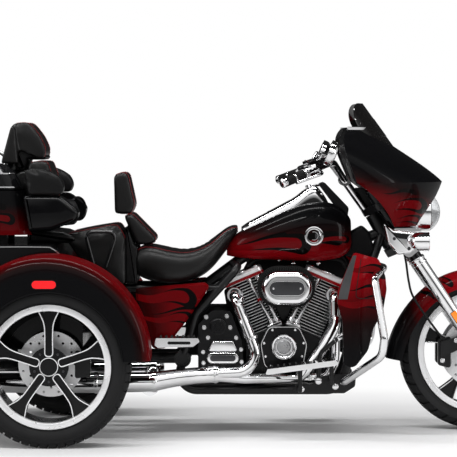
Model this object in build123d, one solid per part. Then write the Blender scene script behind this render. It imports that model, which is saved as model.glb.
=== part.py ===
"""Motorized touring trike: raked fork, V-twin engine, twin rear wheels under arched fenders.

Millimetres. +X is forward, +Y is the rider's left, +Z is up. The origin is on the floor,
midway along the overall length, on the machine's centre plane.
Pieces are drawn for the rider's right side (negative Y) and mirrored for the left.
"""

import os
from math import atan2, cos, degrees, radians, sin, sqrt, tan

from build123d import *

# Overall layout
OVERALL_LENGTH = 2634.0
WHEELBASE = 1716.0
REAR_TRACK = 1120.0
SEAT_GAP = 0.3  # between a piece and what it is bolted to
MOVING_GAP = 6.0  # between a moving piece and its neighbours
RUNNING_GAP = 0.08  # round a turning pin or shaft
PANEL = 5.0  # moulded and pressed panel thickness

# Front wheel
FRONT_TYRE_R = 322.0
FRONT_TYRE_W = 130.0
FRONT_TYRE_H = 81.0  # section height, tread to bead
FRONT_BEAD_R = FRONT_TYRE_R - FRONT_TYRE_H
FRONT_RIM_W = 104.0
FRONT_HUB_R = 46.0
FRONT_HUB_W = 128.0
FRONT_AXLE_R = 12.5
FRONT_DISC_R = 150.0
FRONT_DISC_Y = 60.0

# Rear wheels
REAR_TYRE_R = 315.0
REAR_TYRE_W = 205.0
REAR_TYRE_H = 81.0  # section height, tread to bead
REAR_BEAD_R = REAR_TYRE_R - REAR_TYRE_H
REAR_RIM_W = 190.0
REAR_HUB_R = 60.0
REAR_SPINDLE_R = 22.0
REAR_DISC_R = 128.0
SPOKES = 5
DISC_T = 6.0

FRONT_X = OVERALL_LENGTH / 2 - FRONT_TYRE_R
REAR_X = FRONT_X - WHEELBASE
BODY_REAR_X = -OVERALL_LENGTH / 2
SEAT_X = REAR_X + 18.0  # from which the pillion, its rests and the top box are set out

# Fork and steering
FORK_ANGLE = 34.0  # fork legs from the vertical
STEERING_ANGLE = 30.0  # steering head from the vertical
HEAD_X, HEAD_Z = 600.0, 820.0  # middle of the steering head
HEAD_LENGTH = 150.0
HEAD_R = 32.0
STEM_R = 15.0
FORK_Y = 112.0
FORK_TUBE_R = 26.0
SLIDER_R = 29.0
SLIDER_TOP_Z = 705.0
FORK_TOP_Z = 985.0
CLAMP_T = 30.0

# Frame
TUBE_R = 17.0
RAIL_Y = 130.0
RAIL_Z = 172.0
FRAME_SIDE_Y = 150.0
BACKBONE_R = 22.0
SUBFRAME_R = 15.0
SUBFRAME_Y = 118.0
CROSS_R = 12.0
SUBFRAME_Z = 588.0
BACKREST_POST_X = -419.0

# Engine
CRANK_X, CRANK_Z = 197.0, 225.0
HALF_VEE = 23.0  # each cylinder from the vertical
CASE_HALF_W = 100.0
CYLINDER_FOOT = 200.0  # along the cylinder, from the crank
CYLINDER_TOP = 424.0
BARREL_R = 60.0
FIN_HALF = 74.0
FIN_T = 4.5
FIN_PITCH = 12.0
ROCKER_BASE_T = 12.0
ROCKER_T = 20.0
ROCKER_HALF_X = 92.0
ROCKER_HALF_Y = 100.0
PUSHROD_R = 7.0
PUSHROD_Y = 88.0

# Rear body
FENDER_IN_GAP = 17.5  # tyre's inner side to the trunk
FENDER_OUT_GAP = 28.5  # tyre's outer side to the fender's face
FENDER_IN_Y = REAR_TRACK / 2 - REAR_TYRE_W / 2 - FENDER_IN_GAP
FENDER_OUT_Y = REAR_TRACK / 2 + REAR_TYRE_W / 2 + FENDER_OUT_GAP
FENDER_HALF_L = 401.0
FENDER_RISE = 405.0
FENDER_FOOT_Z = 339.0
FENDER_EDGE_R = 55.0
WHEEL_OPENING_R = 290.0
TRUNK_WALL = 8.0
TRUNK_TOP_Z = 775.0
TRUNK_FLOOR_Z = 365.0
DOOR_T = 20.0
DOOR_HALF_W = 325.0
DOOR_LOW_Z, DOOR_TOP_Z = 388.0, 690.0
HINGE_R = 10.0
HINGE_PIN_R = 5.0
PLATE_HOLE_R = 3.5
PLATE_HOLE_SPACING = 145.0
PLATE_HOLE_Z = 470.0

# Top box
BOX_HALF_W = 285.0
BOX_WALL = 6.0
BOX_FLOOR_Z = 808.0
BOX_SPLIT_Z = 986.0
LID_TOP_Z = 1090.0

AXIS_UP = Vector(-sin(radians(STEERING_ANGLE)), 0, cos(radians(STEERING_ANGLE)))


def both(right):
    """A right-hand piece and its mirror image on the left."""
    return right + mirror(right, about=Plane.XZ)


def face(points, radius):
    """A flat outline with rounded corners; radius is one value or one for each corner."""
    return make_face(FilletPolyline(*points, radius=radius, close=True))


def side_slab(sketch, y_low, y_high):
    """A side-view outline (x, z) given thickness from y_low to y_high."""
    plane = Plane(origin=(0, y_high, 0), x_dir=(1, 0, 0), z_dir=(0, -1, 0))
    return extrude(plane * sketch, y_high - y_low)


def plan_slab(sketch, z_low, z_high):
    """A plan-view outline (x, y) given height from z_low to z_high."""
    return extrude(Pos(0, 0, z_low) * sketch, z_high - z_low)


def rod(start, end, radius):
    """A straight round bar between two points."""
    start, end = Vector(*start), Vector(*end)
    return extrude(Plane(origin=start, z_dir=end - start) * Circle(radius), (end - start).length)


def bent_tube(points, bend, radius):
    """A round bar bent through a list of points."""
    path = FilletPolyline(*points, radius=bend)
    return sweep(Plane(origin=path @ 0, z_dir=path % 0) * Circle(radius), path=path)


def cross_bar(x, z, radius, y_low, y_high):
    """A round bar across the machine."""
    return rod((x, y_low, z), (x, y_high, z), radius)


def rounded_loft(rows):
    """A body through upright sections.

    Each row is (x, z_low, z_high, half width, corner radius).
    """
    sections = []
    for x, z_low, z_high, half_width, corner in rows:
        plane = Plane(origin=(x, 0, (z_low + z_high) / 2), x_dir=(0, 1, 0), z_dir=(1, 0, 0))
        sections.append(plane * RectangleRounded(2 * half_width, z_high - z_low, corner))
    return loft(sections)


def on_axle(wheel, x, y, z):
    """A wheel drawn about +Z, set on its axle with +Z turned to the rider's right."""
    return Pos(x, y, z) * Rot(90, 0, 0) * wheel


# Wheels


def ring(points, radius=0.0):
    """A turned piece; points are (distance from the axle, distance along it)."""
    return revolve(Plane.XZ * face(points, radius), Axis.Z)


def rear_tyre():
    bead, half = REAR_BEAD_R + SEAT_GAP, REAR_TYRE_W / 2
    rim_half = REAR_RIM_W / 2 - 9
    wide = (REAR_BEAD_R + REAR_TYRE_R) / 2
    tread = half - 16
    outline = [
        (bead, -rim_half),
        (bead, rim_half),
        (wide, half),
        (REAR_TYRE_R, tread),
        (REAR_TYRE_R, -tread),
        (wide, -half),
    ]
    return ring(outline, [2, 2, 30, 16, 16, 30])


def front_tyre():
    bead, half = FRONT_BEAD_R + SEAT_GAP, FRONT_TYRE_W / 2
    rim_half = FRONT_RIM_W / 2 - 9
    wide = FRONT_TYRE_R - half / 2
    outline = [
        Line((bead, -rim_half), (bead, rim_half)),
        Line((bead, rim_half), (wide, half)),
        ThreePointArc((wide, half), (FRONT_TYRE_R, 0), (wide, -half)),
        Line((wide, -half), (bead, -rim_half)),
    ]
    return revolve(Plane.XZ * make_face(outline), Axis.Z)


def rim_barrel(bead, width):
    """The rim: a barrel with a flange each side and a wide flat lip."""
    half, flange = width / 2, 7.0
    inside, seat = bead - 16, 5.0
    outline = [
        (inside, -half),
        (bead + flange, -half),
        (bead + flange, -half + seat),
        (bead, -half + seat),
        (bead, half - seat),
        (bead + flange, half - seat),
        (bead + flange, half),
        (inside, half),
    ]
    return ring(outline)


def spoke(root_r, tip_r, half_width, flare, low, high):
    """One spoke along +Y that widens where it meets the rim, with a groove down its face."""
    waist = root_r + 0.62 * (tip_r - root_r)
    edge = [
        (-half_width, root_r),
        (half_width, root_r),
        (half_width, waist),
        (flare, tip_r),
        (-flare, tip_r),
        (-half_width, waist),
    ]
    body = extrude(Pos(0, 0, low) * face(edge, [5, 5, 60, 0, 0, 60]), high - low)
    groove_low, groove_half = high - 8.0, 0.55 * half_width
    groove = [
        (-groove_half, root_r + 10),
        (groove_half, root_r + 10),
        (groove_half, waist + 8),
        (0.62 * flare, tip_r - 6),
        (-0.62 * flare, tip_r - 6),
        (-groove_half, waist + 8),
    ]
    return body - extrude(Pos(0, 0, groove_low) * face(groove, [4, 4, 50, 0, 0, 50]), 20)


def spokes(one):
    """A spoke repeated round the hub."""
    return [Rot(0, 0, i * 360 / SPOKES) * one for i in range(SPOKES)]


def rear_rim():
    """+Z is the outboard side. The hub is bored from inboard for the axle spindle."""
    half = REAR_RIM_W / 2
    face_z, hub_in = half - 18, -58.0
    arm = spoke(38, REAR_BEAD_R - 14, 16, 42, face_z - 34, face_z)
    hub = Pos(0, 0, (face_z - 6 + hub_in) / 2) * Cylinder(REAR_HUB_R, face_z - 6 - hub_in)
    disc_face = Pos(0, 0, face_z - 14) * Cylinder(76, 16)
    cap = Pos(0, 0, face_z - 2) * Cylinder(34, 14)
    wheel = rim_barrel(REAR_BEAD_R, REAR_RIM_W) + hub + disc_face + cap + spokes(arm)
    bore = face_z - 30 - hub_in
    return wheel - Pos(0, 0, hub_in + bore / 2) * Cylinder(REAR_SPINDLE_R + RUNNING_GAP, bore)


def front_rim():
    half_hub = FRONT_HUB_W / 2
    arm = spoke(30, FRONT_BEAD_R - 14, 15, 38, -22, 22)
    back = Rot(0, 180, 0) * arm
    hub = Cylinder(FRONT_HUB_R, FRONT_HUB_W)
    wheel = rim_barrel(FRONT_BEAD_R, FRONT_RIM_W) + hub + spokes(arm & back)
    return wheel - Cylinder(FRONT_AXLE_R + RUNNING_GAP, 2 * half_hub)


def disc(outer, hub_r, z):
    """A brake disc that seats round its hub, drilled with two rings of holes."""
    plate = Pos(0, 0, z) * (Cylinder(outer, DISC_T) - Cylinder(hub_r + SEAT_GAP, DISC_T))
    drills = 12
    for share, offset in ((0.72, 0.0), (0.88, 0.5)):
        holes = PolarLocations(share * outer, drills, start_angle=offset * 360 / drills)
        plate -= [Pos(0, 0, z) * hole * Cylinder(5, DISC_T) for hole in holes]
    return plate


# Rear axle and brakes


def rear_axle():
    """Axle housing with its differential, the swing arm and the wheel spindles."""
    end_y = REAR_TRACK / 2 - 135
    pivot_x, pivot_z, arm_y = SWING_PIVOT_X, SWING_PIVOT_Z, 86.0
    z = REAR_TYRE_R
    housing = cross_bar(REAR_X, z, 40, -end_y, end_y)
    middle = cross_bar(REAR_X, z, 46, -70, 70)
    spindles = cross_bar(REAR_X, z, REAR_SPINDLE_R, -REAR_TRACK / 2 + 8, REAR_TRACK / 2 - 8)
    pivot = cross_bar(pivot_x, pivot_z, 24, -RAIL_Y - 20, RAIL_Y + 20)
    arm = [(pivot_x, -arm_y, pivot_z), (pivot_x - 120, -arm_y, pivot_z), (REAR_X, -arm_y - 40, z)]
    plate = cross_bar(REAR_X, z, 48, -end_y - 12, -end_y)
    return housing + middle + spindles + pivot + both(bent_tube(arm, 60, 22)) + both(plate)


def caliper(outer, slot_half, x_side, half_y, reach):
    """A brake caliper about the wheel centre, slotted for its disc; +Z is outboard."""
    tall = 0.44 * outer
    shape = [
        (x_side * (outer - 34), -tall),
        (x_side * (outer + reach), -tall * 0.8),
        (x_side * (outer + reach), tall * 0.8),
        (x_side * (outer - 34), tall),
    ]
    body = extrude(Pos(0, 0, -half_y) * face(shape, 10), 2 * half_y)
    return body - Cylinder(outer + MOVING_GAP, 2 * slot_half)


def rear_caliper():
    """Ahead of the axle, on an arm from the axle's end plate."""
    end_y = REAR_TRACK / 2 - 135
    disc_y = REAR_TRACK / 2 - 48
    body = caliper(REAR_DISC_R, DISC_T / 2 + MOVING_GAP, 1, 24, 26)
    body = on_axle(body, REAR_X, -disc_y, REAR_TYRE_R)
    reach = REAR_DISC_R + 20
    outline = [(0, -26), (reach, -30), (reach, 30), (0, 26)]
    arm = side_slab(Pos(REAR_X, REAR_TYRE_R) * face(outline, 6), -disc_y + 15, -end_y - 12 - SEAT_GAP)
    spindle = cross_bar(REAR_X, REAR_TYRE_R, REAR_SPINDLE_R + SEAT_GAP, -REAR_TRACK / 2, -end_y - 12)
    return body + arm - spindle


# Frame

SWING_PIVOT_X, SWING_PIVOT_Z = -215.0, 300.0


def head_point(along):
    """A point on the steering axis, measured up from the middle of the head."""
    return Vector(HEAD_X, 0, HEAD_Z) + AXIS_UP * along


def frame():
    """Steering head, backbone, twin down tubes and lower rails, seat posts and sub-frame rails."""
    half = HEAD_LENGTH / 2
    low, high = head_point(-half), head_point(half)
    head = rod(tuple(low), tuple(high), HEAD_R)
    neck = head_point(-10)
    backbone = bent_tube([tuple(neck), (470, 0, 762), (40, 0, 714), (-130, 0, 588)], 120, BACKBONE_R)
    foot = head_point(-half + 44)
    side = bent_tube(
        [
            (foot.X - 18, -24, foot.Z),
            (505, -112, 560),
            (462, -RAIL_Y, 300),
            (420, -RAIL_Y, RAIL_Z),
            (-245, -RAIL_Y, RAIL_Z),
            (SWING_PIVOT_X, -RAIL_Y - 8, SWING_PIVOT_Z),
            (-160, -FRAME_SIDE_Y, 485),
            (12, -FRAME_SIDE_Y + 12, 674),
            (-10, -10, 682),
        ],
        [60, 120, 70, 70, 60, 60, 36],
        TUBE_R,
    )
    rail_end = TRUNK_FRONT_X + SEAT_GAP
    rail_path = [
        (-62, -FRAME_SIDE_Y + 3, SUBFRAME_Z),
        (-200, -SUBFRAME_Y, SUBFRAME_Z),
        (rail_end, -SUBFRAME_Y, SUBFRAME_Z),
    ]
    rail = bent_tube(rail_path, 40, SUBFRAME_R)
    pivot = cross_bar(SWING_PIVOT_X, SWING_PIVOT_Z, 34, -RAIL_Y - 22, -114)
    cross = [
        cross_bar(-150, SUBFRAME_Z, CROSS_R, -126, 126),
        cross_bar(BACKREST_POST_X, SUBFRAME_Z, CROSS_R, -SUBFRAME_Y - 1, SUBFRAME_Y + 1),
    ]
    jack_plate = Pos(60, 0, RAIL_Z - TUBE_R + 5) * Box(120, 2 * RAIL_Y, 10)
    whole = head + backbone + both(side) + both(rail) + both(pivot) + cross + jack_plate
    whole -= rod(tuple(head_point(-half - 1)), tuple(head_point(half + 1)), STEM_R + RUNNING_GAP)
    return whole - cross_bar(SWING_PIVOT_X, SWING_PIVOT_Z, 24 + SEAT_GAP, -RAIL_Y - 30, RAIL_Y + 30)


# Engine


def cylinder_place(side):
    """Local frame of a cylinder: +Z up its bore from the crank, +X across the machine.

    side is 1 for the front cylinder and -1 for the rear one.
    """
    lean = radians(HALF_VEE) * side
    return Plane(origin=(CRANK_X, 0, CRANK_Z), x_dir=(0, 1, 0), z_dir=(sin(lean), 0, cos(lean))).location


def crankcase():
    lean = radians(HALF_VEE)
    foot_x, foot_z = CYLINDER_FOOT * sin(lean), CYLINDER_FOOT * cos(lean)
    across = FIN_HALF + 6
    shoulder = (foot_x + across * cos(lean), foot_z - across * sin(lean))
    peak = foot_z + foot_x * tan(lean)
    outline = [
        (-shoulder[0], shoulder[1]),
        (-shoulder[0] - 4, 5),
        (-120, -28),
        (150, -28),
        (shoulder[0] + 36, 30),
        (shoulder[0] + 36, 100),
        (shoulder[0], shoulder[1]),
        (0, peak),
    ]
    side = Pos(CRANK_X, CRANK_Z) * face(outline, [8, 20, 30, 40, 40, 30, 8, 0])
    return side_slab(side, -CASE_HALF_W, CASE_HALF_W)


def gearbox():
    outline = [(-152, 232), (34, 232), (26, 372), (-20, 496), (-96, 500), (-152, 440)]
    body = side_slab(face(outline, [18, 4, 20, 24, 30, 30]), -165, CASE_HALF_W)
    cover_line = [(-118, 284), (14, 284), (14, 326), (-12, 378), (-92, 378), (-118, 326)]
    cover = side_slab(face(cover_line, [16, 16, 10, 6, 6, 10]), -182, -165)
    boss = cross_bar(-72, 434, 34, -176, -165)
    return body + cover + boss


def cylinder(side):
    """A finned barrel and head."""
    low, high = CYLINDER_FOOT + SEAT_GAP, CYLINDER_TOP
    core = Pos(0, 0, (low + high) / 2) * Cylinder(BARREL_R, high - low)
    fins = []
    count = int((high - low - FIN_T) / FIN_PITCH)
    for i in range(count + 1):
        size = FIN_HALF if i < count * 0.55 else FIN_HALF + 4
        plate = extrude(RectangleRounded(2 * FIN_HALF, 2 * size, 22), FIN_T)
        fins.append(Pos(0, 0, high - FIN_T - i * FIN_PITCH) * plate)
    return cylinder_place(side) * (core + fins)


def rocker_base(side):
    low = CYLINDER_TOP + SEAT_GAP
    return cylinder_place(side) * (
        Pos(0, 0, low) * extrude(RectangleRounded(2 * ROCKER_HALF_Y, 2 * ROCKER_HALF_X, 24), ROCKER_BASE_T)
    )


def rocker_cover(side):
    low = CYLINDER_TOP + ROCKER_BASE_T + 2 * SEAT_GAP
    body = extrude(RectangleRounded(2 * ROCKER_HALF_Y - 6, 2 * ROCKER_HALF_X - 6, 22), ROCKER_T)
    body = chamfer(body.faces().sort_by(Axis.Z)[-1].edges(), 7)
    return cylinder_place(side) * (Pos(0, 0, low) * body)


def pushrods(side):
    """Two slanting tubes from the cam cover's top to the rocker base."""
    lean = radians(HALF_VEE) * side
    tubes = []
    above = cylinder_place(side) * (Pos(0, 0, CYLINDER_TOP + 50) * Box(400, 400, 100))
    for foot_x, top_across in ((26, 58), (48, 22)):
        reach = CYLINDER_TOP + 5
        top_x = CRANK_X + reach * sin(lean) - side * top_across * cos(lean)
        top_z = CRANK_Z + reach * cos(lean) + top_across * sin(radians(HALF_VEE))
        foot_z = CAM_Z + 91 - (foot_x - 37) * tan(radians(20))
        foot = (CRANK_X + side * foot_x, -PUSHROD_Y - 22, foot_z)
        tube = rod(foot, (top_x, -PUSHROD_Y, top_z), PUSHROD_R)
        tubes.append(tube - tappet_block(side, SEAT_GAP) - above)
    return tubes


CAM_X, CAM_Z = CRANK_X - 2, 352.0
CAM_OUT_Y = -CASE_HALF_W - 62


def tappet_block(side, grow=0.0):
    """The block below each pair of pushrods."""
    deep = 2 * (PUSHROD_Y + 22 - CASE_HALF_W - 1)
    place = Pos(CRANK_X + side * 37, -PUSHROD_Y - 22, CAM_Z + 80) * Rot(0, side * 20, 0)
    return place * Box(52 + 2 * grow, deep + 2 * grow, 18 + 2 * grow)


def cam_cover():
    """Rounded three-lobed case cover with the round timing cover standing on it."""
    outline = [(-62, 82), (62, 82), (96, 10), (78, -92), (-78, -92), (-96, 10)]
    side = Pos(CAM_X, CAM_Z) * face(outline, [30, 30, 50, 34, 34, 50])
    plate = side_slab(side, CAM_OUT_Y, -CASE_HALF_W - SEAT_GAP)
    cap = cross_bar(CAM_X, CAM_Z, 50, CAM_OUT_Y - 22, CAM_OUT_Y)
    lip = cross_bar(CAM_X, CAM_Z, 40, CAM_OUT_Y - 22, CAM_OUT_Y - 16)
    boss = cross_bar(CAM_X, CAM_Z, 26, CAM_OUT_Y - 20, CAM_OUT_Y)
    return plate + cap - lip + boss + [tappet_block(side) for side in (-1, 1)]


AIR_X, AIR_Z = 205.0, 595.0
AIR_HALF_L, AIR_HALF_H = 101.0, 67.0
AIR_IN_Y, AIR_OUT_Y = -136.0, -286.0


def stadium(half_length, half_height):
    return SlotOverall(2 * half_length, 2 * half_height)


def air_cleaner():
    """Oval cover with a recessed panel, on the inlet pipe that joins both heads."""
    place = Pos(AIR_X, AIR_Z)
    rim = side_slab(place * stadium(AIR_HALF_L - 14, AIR_HALF_H - 14), AIR_IN_Y - 28, AIR_IN_Y)
    cover = side_slab(place * stadium(AIR_HALF_L, AIR_HALF_H), AIR_OUT_Y, AIR_IN_Y - 28)
    front = cover.faces().sort_by(Axis.Y)[0]
    cover = fillet(front.edges(), 22)
    recess = side_slab(place * stadium(AIR_HALF_L - 26, 0.48 * AIR_HALF_H), AIR_OUT_Y - 1, AIR_OUT_Y + 6)
    stub = rod((AIR_X, AIR_IN_Y, AIR_Z - 35), (AIR_X, 0, AIR_Z - 35), 30)
    pipe = rod((CRANK_X - 150, 0, AIR_Z - 35), (CRANK_X + 150, 0, AIR_Z - 35), 24)
    envelope = [
        cylinder_place(s) * (Pos(0, 0, 310) * Box(2 * FIN_HALF + 1, 2 * (FIN_HALF + 4) + 2 * SEAT_GAP, 300))
        for s in (-1, 1)
    ]
    return (rim + cover - recess) + (stub + (pipe - envelope))


def primary_cover():
    """Long case on the left, round at the crank end and larger at the clutch end."""
    hull = make_hull((Pos(CRANK_X + 18, 300) * Circle(92)).edges() + (Pos(-58, 330) * Circle(106)).edges())
    body = side_slab(hull, CASE_HALF_W + SEAT_GAP, CASE_HALF_W + 96)
    outer = body.faces().sort_by(Axis.Y)[-1]
    body = fillet(outer.edges(), 26)
    derby = cross_bar(-58, 330, 72, CASE_HALF_W + 96, CASE_HALF_W + 106)
    return body + derby


PIPE_R = 22.0
MUFFLER_R = 40.0
MUFFLER_Y = 250.0
MUFFLER_Z = 214.0
CROSSOVER_X, CROSSOVER_Z = -345.0, 200.0


def exhaust():
    """Two chromed header shields, the collector, the crossover and a muffler each side."""
    port = FIN_HALF + SEAT_GAP
    rear_header = bent_tube(
        [(-4, -port, 556), (-4, -188, 556), (112, -208, 256), (-110, -224, 246)], [44, 78], PIPE_R
    )
    front_header = bent_tube(
        [
            (400, -port, 556),
            (400, -124, 556),
            (402, -124, 300),
            (368, -125, 222),
            (230, -125, 222),
            (40, -196, 226),
            (-110, -224, 240),
        ],
        [24, 60, 50, 150, 150],
        PIPE_R,
    )
    mouth = (-330, -MUFFLER_Y, MUFFLER_Z + 4)
    rings = ((-70, -220, 244, 34), (-190, -232, 238, 34), (*mouth, MUFFLER_R))
    collector = loft([Plane(origin=(x, y, z), z_dir=(-1, 0, 0)) * Circle(r) for x, y, z, r in rings])
    path = [mouth, (-520, -MUFFLER_Y, MUFFLER_Z), (-1180, -MUFFLER_Y, MUFFLER_Z)]
    muffler = bent_tube(path, 300, MUFFLER_R)
    tip = rod((-1180, -MUFFLER_Y, MUFFLER_Z), (-1240, -MUFFLER_Y, MUFFLER_Z), 30)
    tip -= rod((-1200, -MUFFLER_Y, MUFFLER_Z), (-1241, -MUFFLER_Y, MUFFLER_Z), 26)
    nose = rod((-330, MUFFLER_Y, MUFFLER_Z + 4), (-300, MUFFLER_Y, MUFFLER_Z + 4), MUFFLER_R - 8)
    crossover = rod((CROSSOVER_X, -MUFFLER_Y, CROSSOVER_Z), (CROSSOVER_X, MUFFLER_Y, CROSSOVER_Z), 38)
    return rear_header + front_header + collector + both(muffler + tip) + nose + crossover


# Tank, console and seats

# x, z_low, z_high, half width, corner radius
TANK_ROWS = [
    (-36, 716, 768, 64, 24),
    (40, 706, 822, 122, 52),
    (170, 700, 884, 164, 78),
    (330, 696, 934, 172, 92),
    (420, 708, 916, 146, 80),
    (470, 746, 862, 96, 50),
]
TANK_TUNNEL_HALF = 46.0


def tank_body(grow=0.0):
    """The tank's outer form, or that form a little larger for what fits round it."""
    return rounded_loft(
        [
            (x + (grow if x > 200 else -grow), low - grow, high + grow, half + grow, corner)
            for x, low, high, half, corner in TANK_ROWS
        ]
    )


def fuel_tank():
    tunnel = Pos(200, 0, 700) * Box(600, 2 * TANK_TUNNEL_HALF, 180)
    return tank_body() - tunnel


CONSOLE_HALF_W = 56.0


def tank_console():
    """Bright console along the tank's crown, with its filler dome at the front."""
    outline = [
        (24, 790),
        (28, 836),
        (140, 898),
        (236, 950),
        (290, 992),
        (330, 1000),
        (372, 948),
        (392, 890),
    ]
    body = side_slab(face(outline, [6, 12, 200, 120, 30, 16, 30, 6]), -CONSOLE_HALF_W, CONSOLE_HALF_W)
    return body - tank_body()


def dash_apron():
    """Dark panel that stands on the tank ahead of the console."""
    outline = [(340, 1008), (362, 1016), (462, 912), (452, 850), (400, 850), (412, 912)]
    body = side_slab(face(outline, [6, 8, 20, 6, 6, 10]), -78, 78)
    return body - tank_body(SEAT_GAP) - (Pos(360, 0, 940) * Box(66, 2 * (CONSOLE_HALF_W + SEAT_GAP), 240))


# x, z_low, z_high, half width, corner radius
RIDER_SEAT_ROWS = [
    (-404, 640, 744, 176, 44),
    (-300, 606, 752, 200, 54),
    (-200, 610, 738, 196, 52),
    (-100, 660, 778, 160, 56),
    (-30, 744, 834, 108, 42),
    (12, 776, 842, 70, 30),
]


def rider_seat():
    return rounded_loft(RIDER_SEAT_ROWS) - tank_body(2 * SEAT_GAP)


PILLION_HALF_W = 186.0
GRAB_R = 8.0


def pillion_seat():
    """Passenger cushion and its base, which stands on the sub-frame rails."""
    x, base = SEAT_X, SUBFRAME_Z + SUBFRAME_R + SEAT_GAP
    outline = [
        (x + 8, 792),
        (x + 34, 816),
        (x + 228, 852),
        (x + 262, 790),
        (x + 262, base),
        (x + 132, base),
        (x + 64, 716),
    ]
    return side_slab(face(outline, [10, 22, 26, 14, 10, 10, 20]), -PILLION_HALF_W, PILLION_HALF_W)


def rider_backrest():
    """Upper pad and the slanted lumbar pad below it, on a post from the seat."""
    upper_pad = [(-492, 888), (-496, 1050), (-438, 1062), (-408, 924), (-424, 886)]
    lower_pad = [(-456, 884), (-418, 892), (-318, 790), (-326, 772), (-352, 763), (-404, 763)]
    upper = side_slab(face(upper_pad, [8, 22, 22, 30, 10]), -128, 128)
    lower = side_slab(face(lower_pad, [12, 18, 10, 8, 10, 14]), -150, 150)
    post_low = SUBFRAME_Z + CROSS_R + SEAT_GAP
    post = Pos(BACKREST_POST_X, 0, (post_low + 900) / 2) * Box(16, 60, 900 - post_low)
    return upper + lower + post


def grab_rails():
    """A bent handhold each side of the passenger seat."""
    x, foot_y = SEAT_X, PILLION_HALF_W + GRAB_R + SEAT_GAP
    path = [
        (x + 130, -foot_y, 690),
        (x + 98, -foot_y - 36, 820),
        (x + 228, -foot_y - 36, 820),
        (x + 180, -foot_y, 680),
    ]
    return both(bent_tube(path, 26, GRAB_R))


# Rear body

TRUNK_FRONT_X = REAR_X + 120
TRUNK_HALF_W = FENDER_IN_Y - SEAT_GAP


def trunk_outline(inset):
    """Side view of the trunk, drawn in by a wall thickness."""
    rear, front = BODY_REAR_X + 8 + inset, TRUNK_FRONT_X - inset
    top, floor = TRUNK_TOP_Z - inset, TRUNK_FLOOR_Z + inset
    slope_x, slope_z = REAR_X + 40 - inset, 736 - 0.6 * inset
    outline = [
        (rear, floor),
        (rear, top),
        (REAR_X - 6 - 0.5 * inset, top),
        (slope_x, slope_z),
        (front, 590),
        (front, floor),
    ]
    return face(outline, [6, 30, 12, 30, 30, 12])


HINGE_X = BODY_REAR_X + HINGE_R
HINGE_Z = DOOR_LOW_Z - 14.0


def trunk():
    """Hollow luggage trunk with a framed door opening at the back and the door's hinge pin."""
    outer = side_slab(trunk_outline(0), -TRUNK_HALF_W, TRUNK_HALF_W)
    inside = side_slab(trunk_outline(TRUNK_WALL), -TRUNK_HALF_W + TRUNK_WALL, TRUNK_HALF_W - TRUNK_WALL)
    gap = MOVING_GAP
    opening_mid = (DOOR_LOW_Z + DOOR_TOP_Z) / 2
    opening = Pos(BODY_REAR_X, 0, opening_mid) * Box(
        80, 2 * (DOOR_HALF_W + gap), DOOR_TOP_Z - DOOR_LOW_Z + 2 * gap
    )
    recess = Pos(BODY_REAR_X, 0, TRUNK_FLOOR_Z - 10 + (DOOR_LOW_Z - TRUNK_FLOOR_Z + 10) / 2) * Box(
        56, 2 * (DOOR_HALF_W + gap), DOOR_LOW_Z - TRUNK_FLOOR_Z + 10
    )
    sill = Pos(BODY_REAR_X + 42, 0, (TRUNK_FLOOR_Z + HINGE_Z + 6) / 2) * Box(
        28, 2 * (DOOR_HALF_W + gap), HINGE_Z + 6 - TRUNK_FLOOR_Z
    )
    lugs = [
        Pos(HINGE_X + 12, y, HINGE_Z - 2) * Box(44, 12, 14) for y in (-186, 186)
    ]
    pin = cross_bar(HINGE_X, HINGE_Z, HINGE_PIN_R, -186, 186)
    return outer - inside - opening - recess + sill + lugs + pin


def trunk_door():
    """Drop-down door with a hinge barrel along its foot and two holes for a plate holder."""
    height = DOOR_TOP_Z - DOOR_LOW_Z
    face_x = BODY_REAR_X + 8
    panel = Rectangle(2 * DOOR_HALF_W, height)
    panel = fillet(panel.vertices().sort_by(Axis.Y)[-2:], 40)
    place = Plane(origin=(face_x, 0, DOOR_LOW_Z + height / 2), x_dir=(0, -1, 0), z_dir=(-1, 0, 0))
    door = extrude(place * panel, -DOOR_T)
    recess = Pos(face_x, 0, PLATE_HOLE_Z) * Box(12, 260, 130)
    barrel = cross_bar(HINGE_X, HINGE_Z, HINGE_R, -170, 170)
    leaf = Pos(HINGE_X + 4, 0, (HINGE_Z + DOOR_LOW_Z) / 2 + 2) * Box(10, 340, DOOR_LOW_Z - HINGE_Z + 4)
    door = door - recess + barrel + leaf
    door -= cross_bar(HINGE_X, HINGE_Z, HINGE_PIN_R + RUNNING_GAP, -171, 171)
    for y in (-PLATE_HOLE_SPACING / 2, PLATE_HOLE_SPACING / 2):
        door -= rod((face_x - 2, y, PLATE_HOLE_Z), (face_x + DOOR_T + 2, y, PLATE_HOLE_Z), PLATE_HOLE_R)
    return door


def arch(half_length, rise):
    """The upper half of an ellipse above the fender's foot."""
    whole = Ellipse(half_length, rise)
    return whole & (Pos(0, rise) * Rectangle(4 * half_length, 2 * rise))


FENDER_X = REAR_X - 10.0


def fender_crown(slab, out_y):
    """The arched edge between a fender's outer side and its crown."""
    return slab.edges().filter_by(lambda e: e.center().Y < -out_y + 1 and e.center().Z > FENDER_FOOT_Z + 5)


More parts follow.
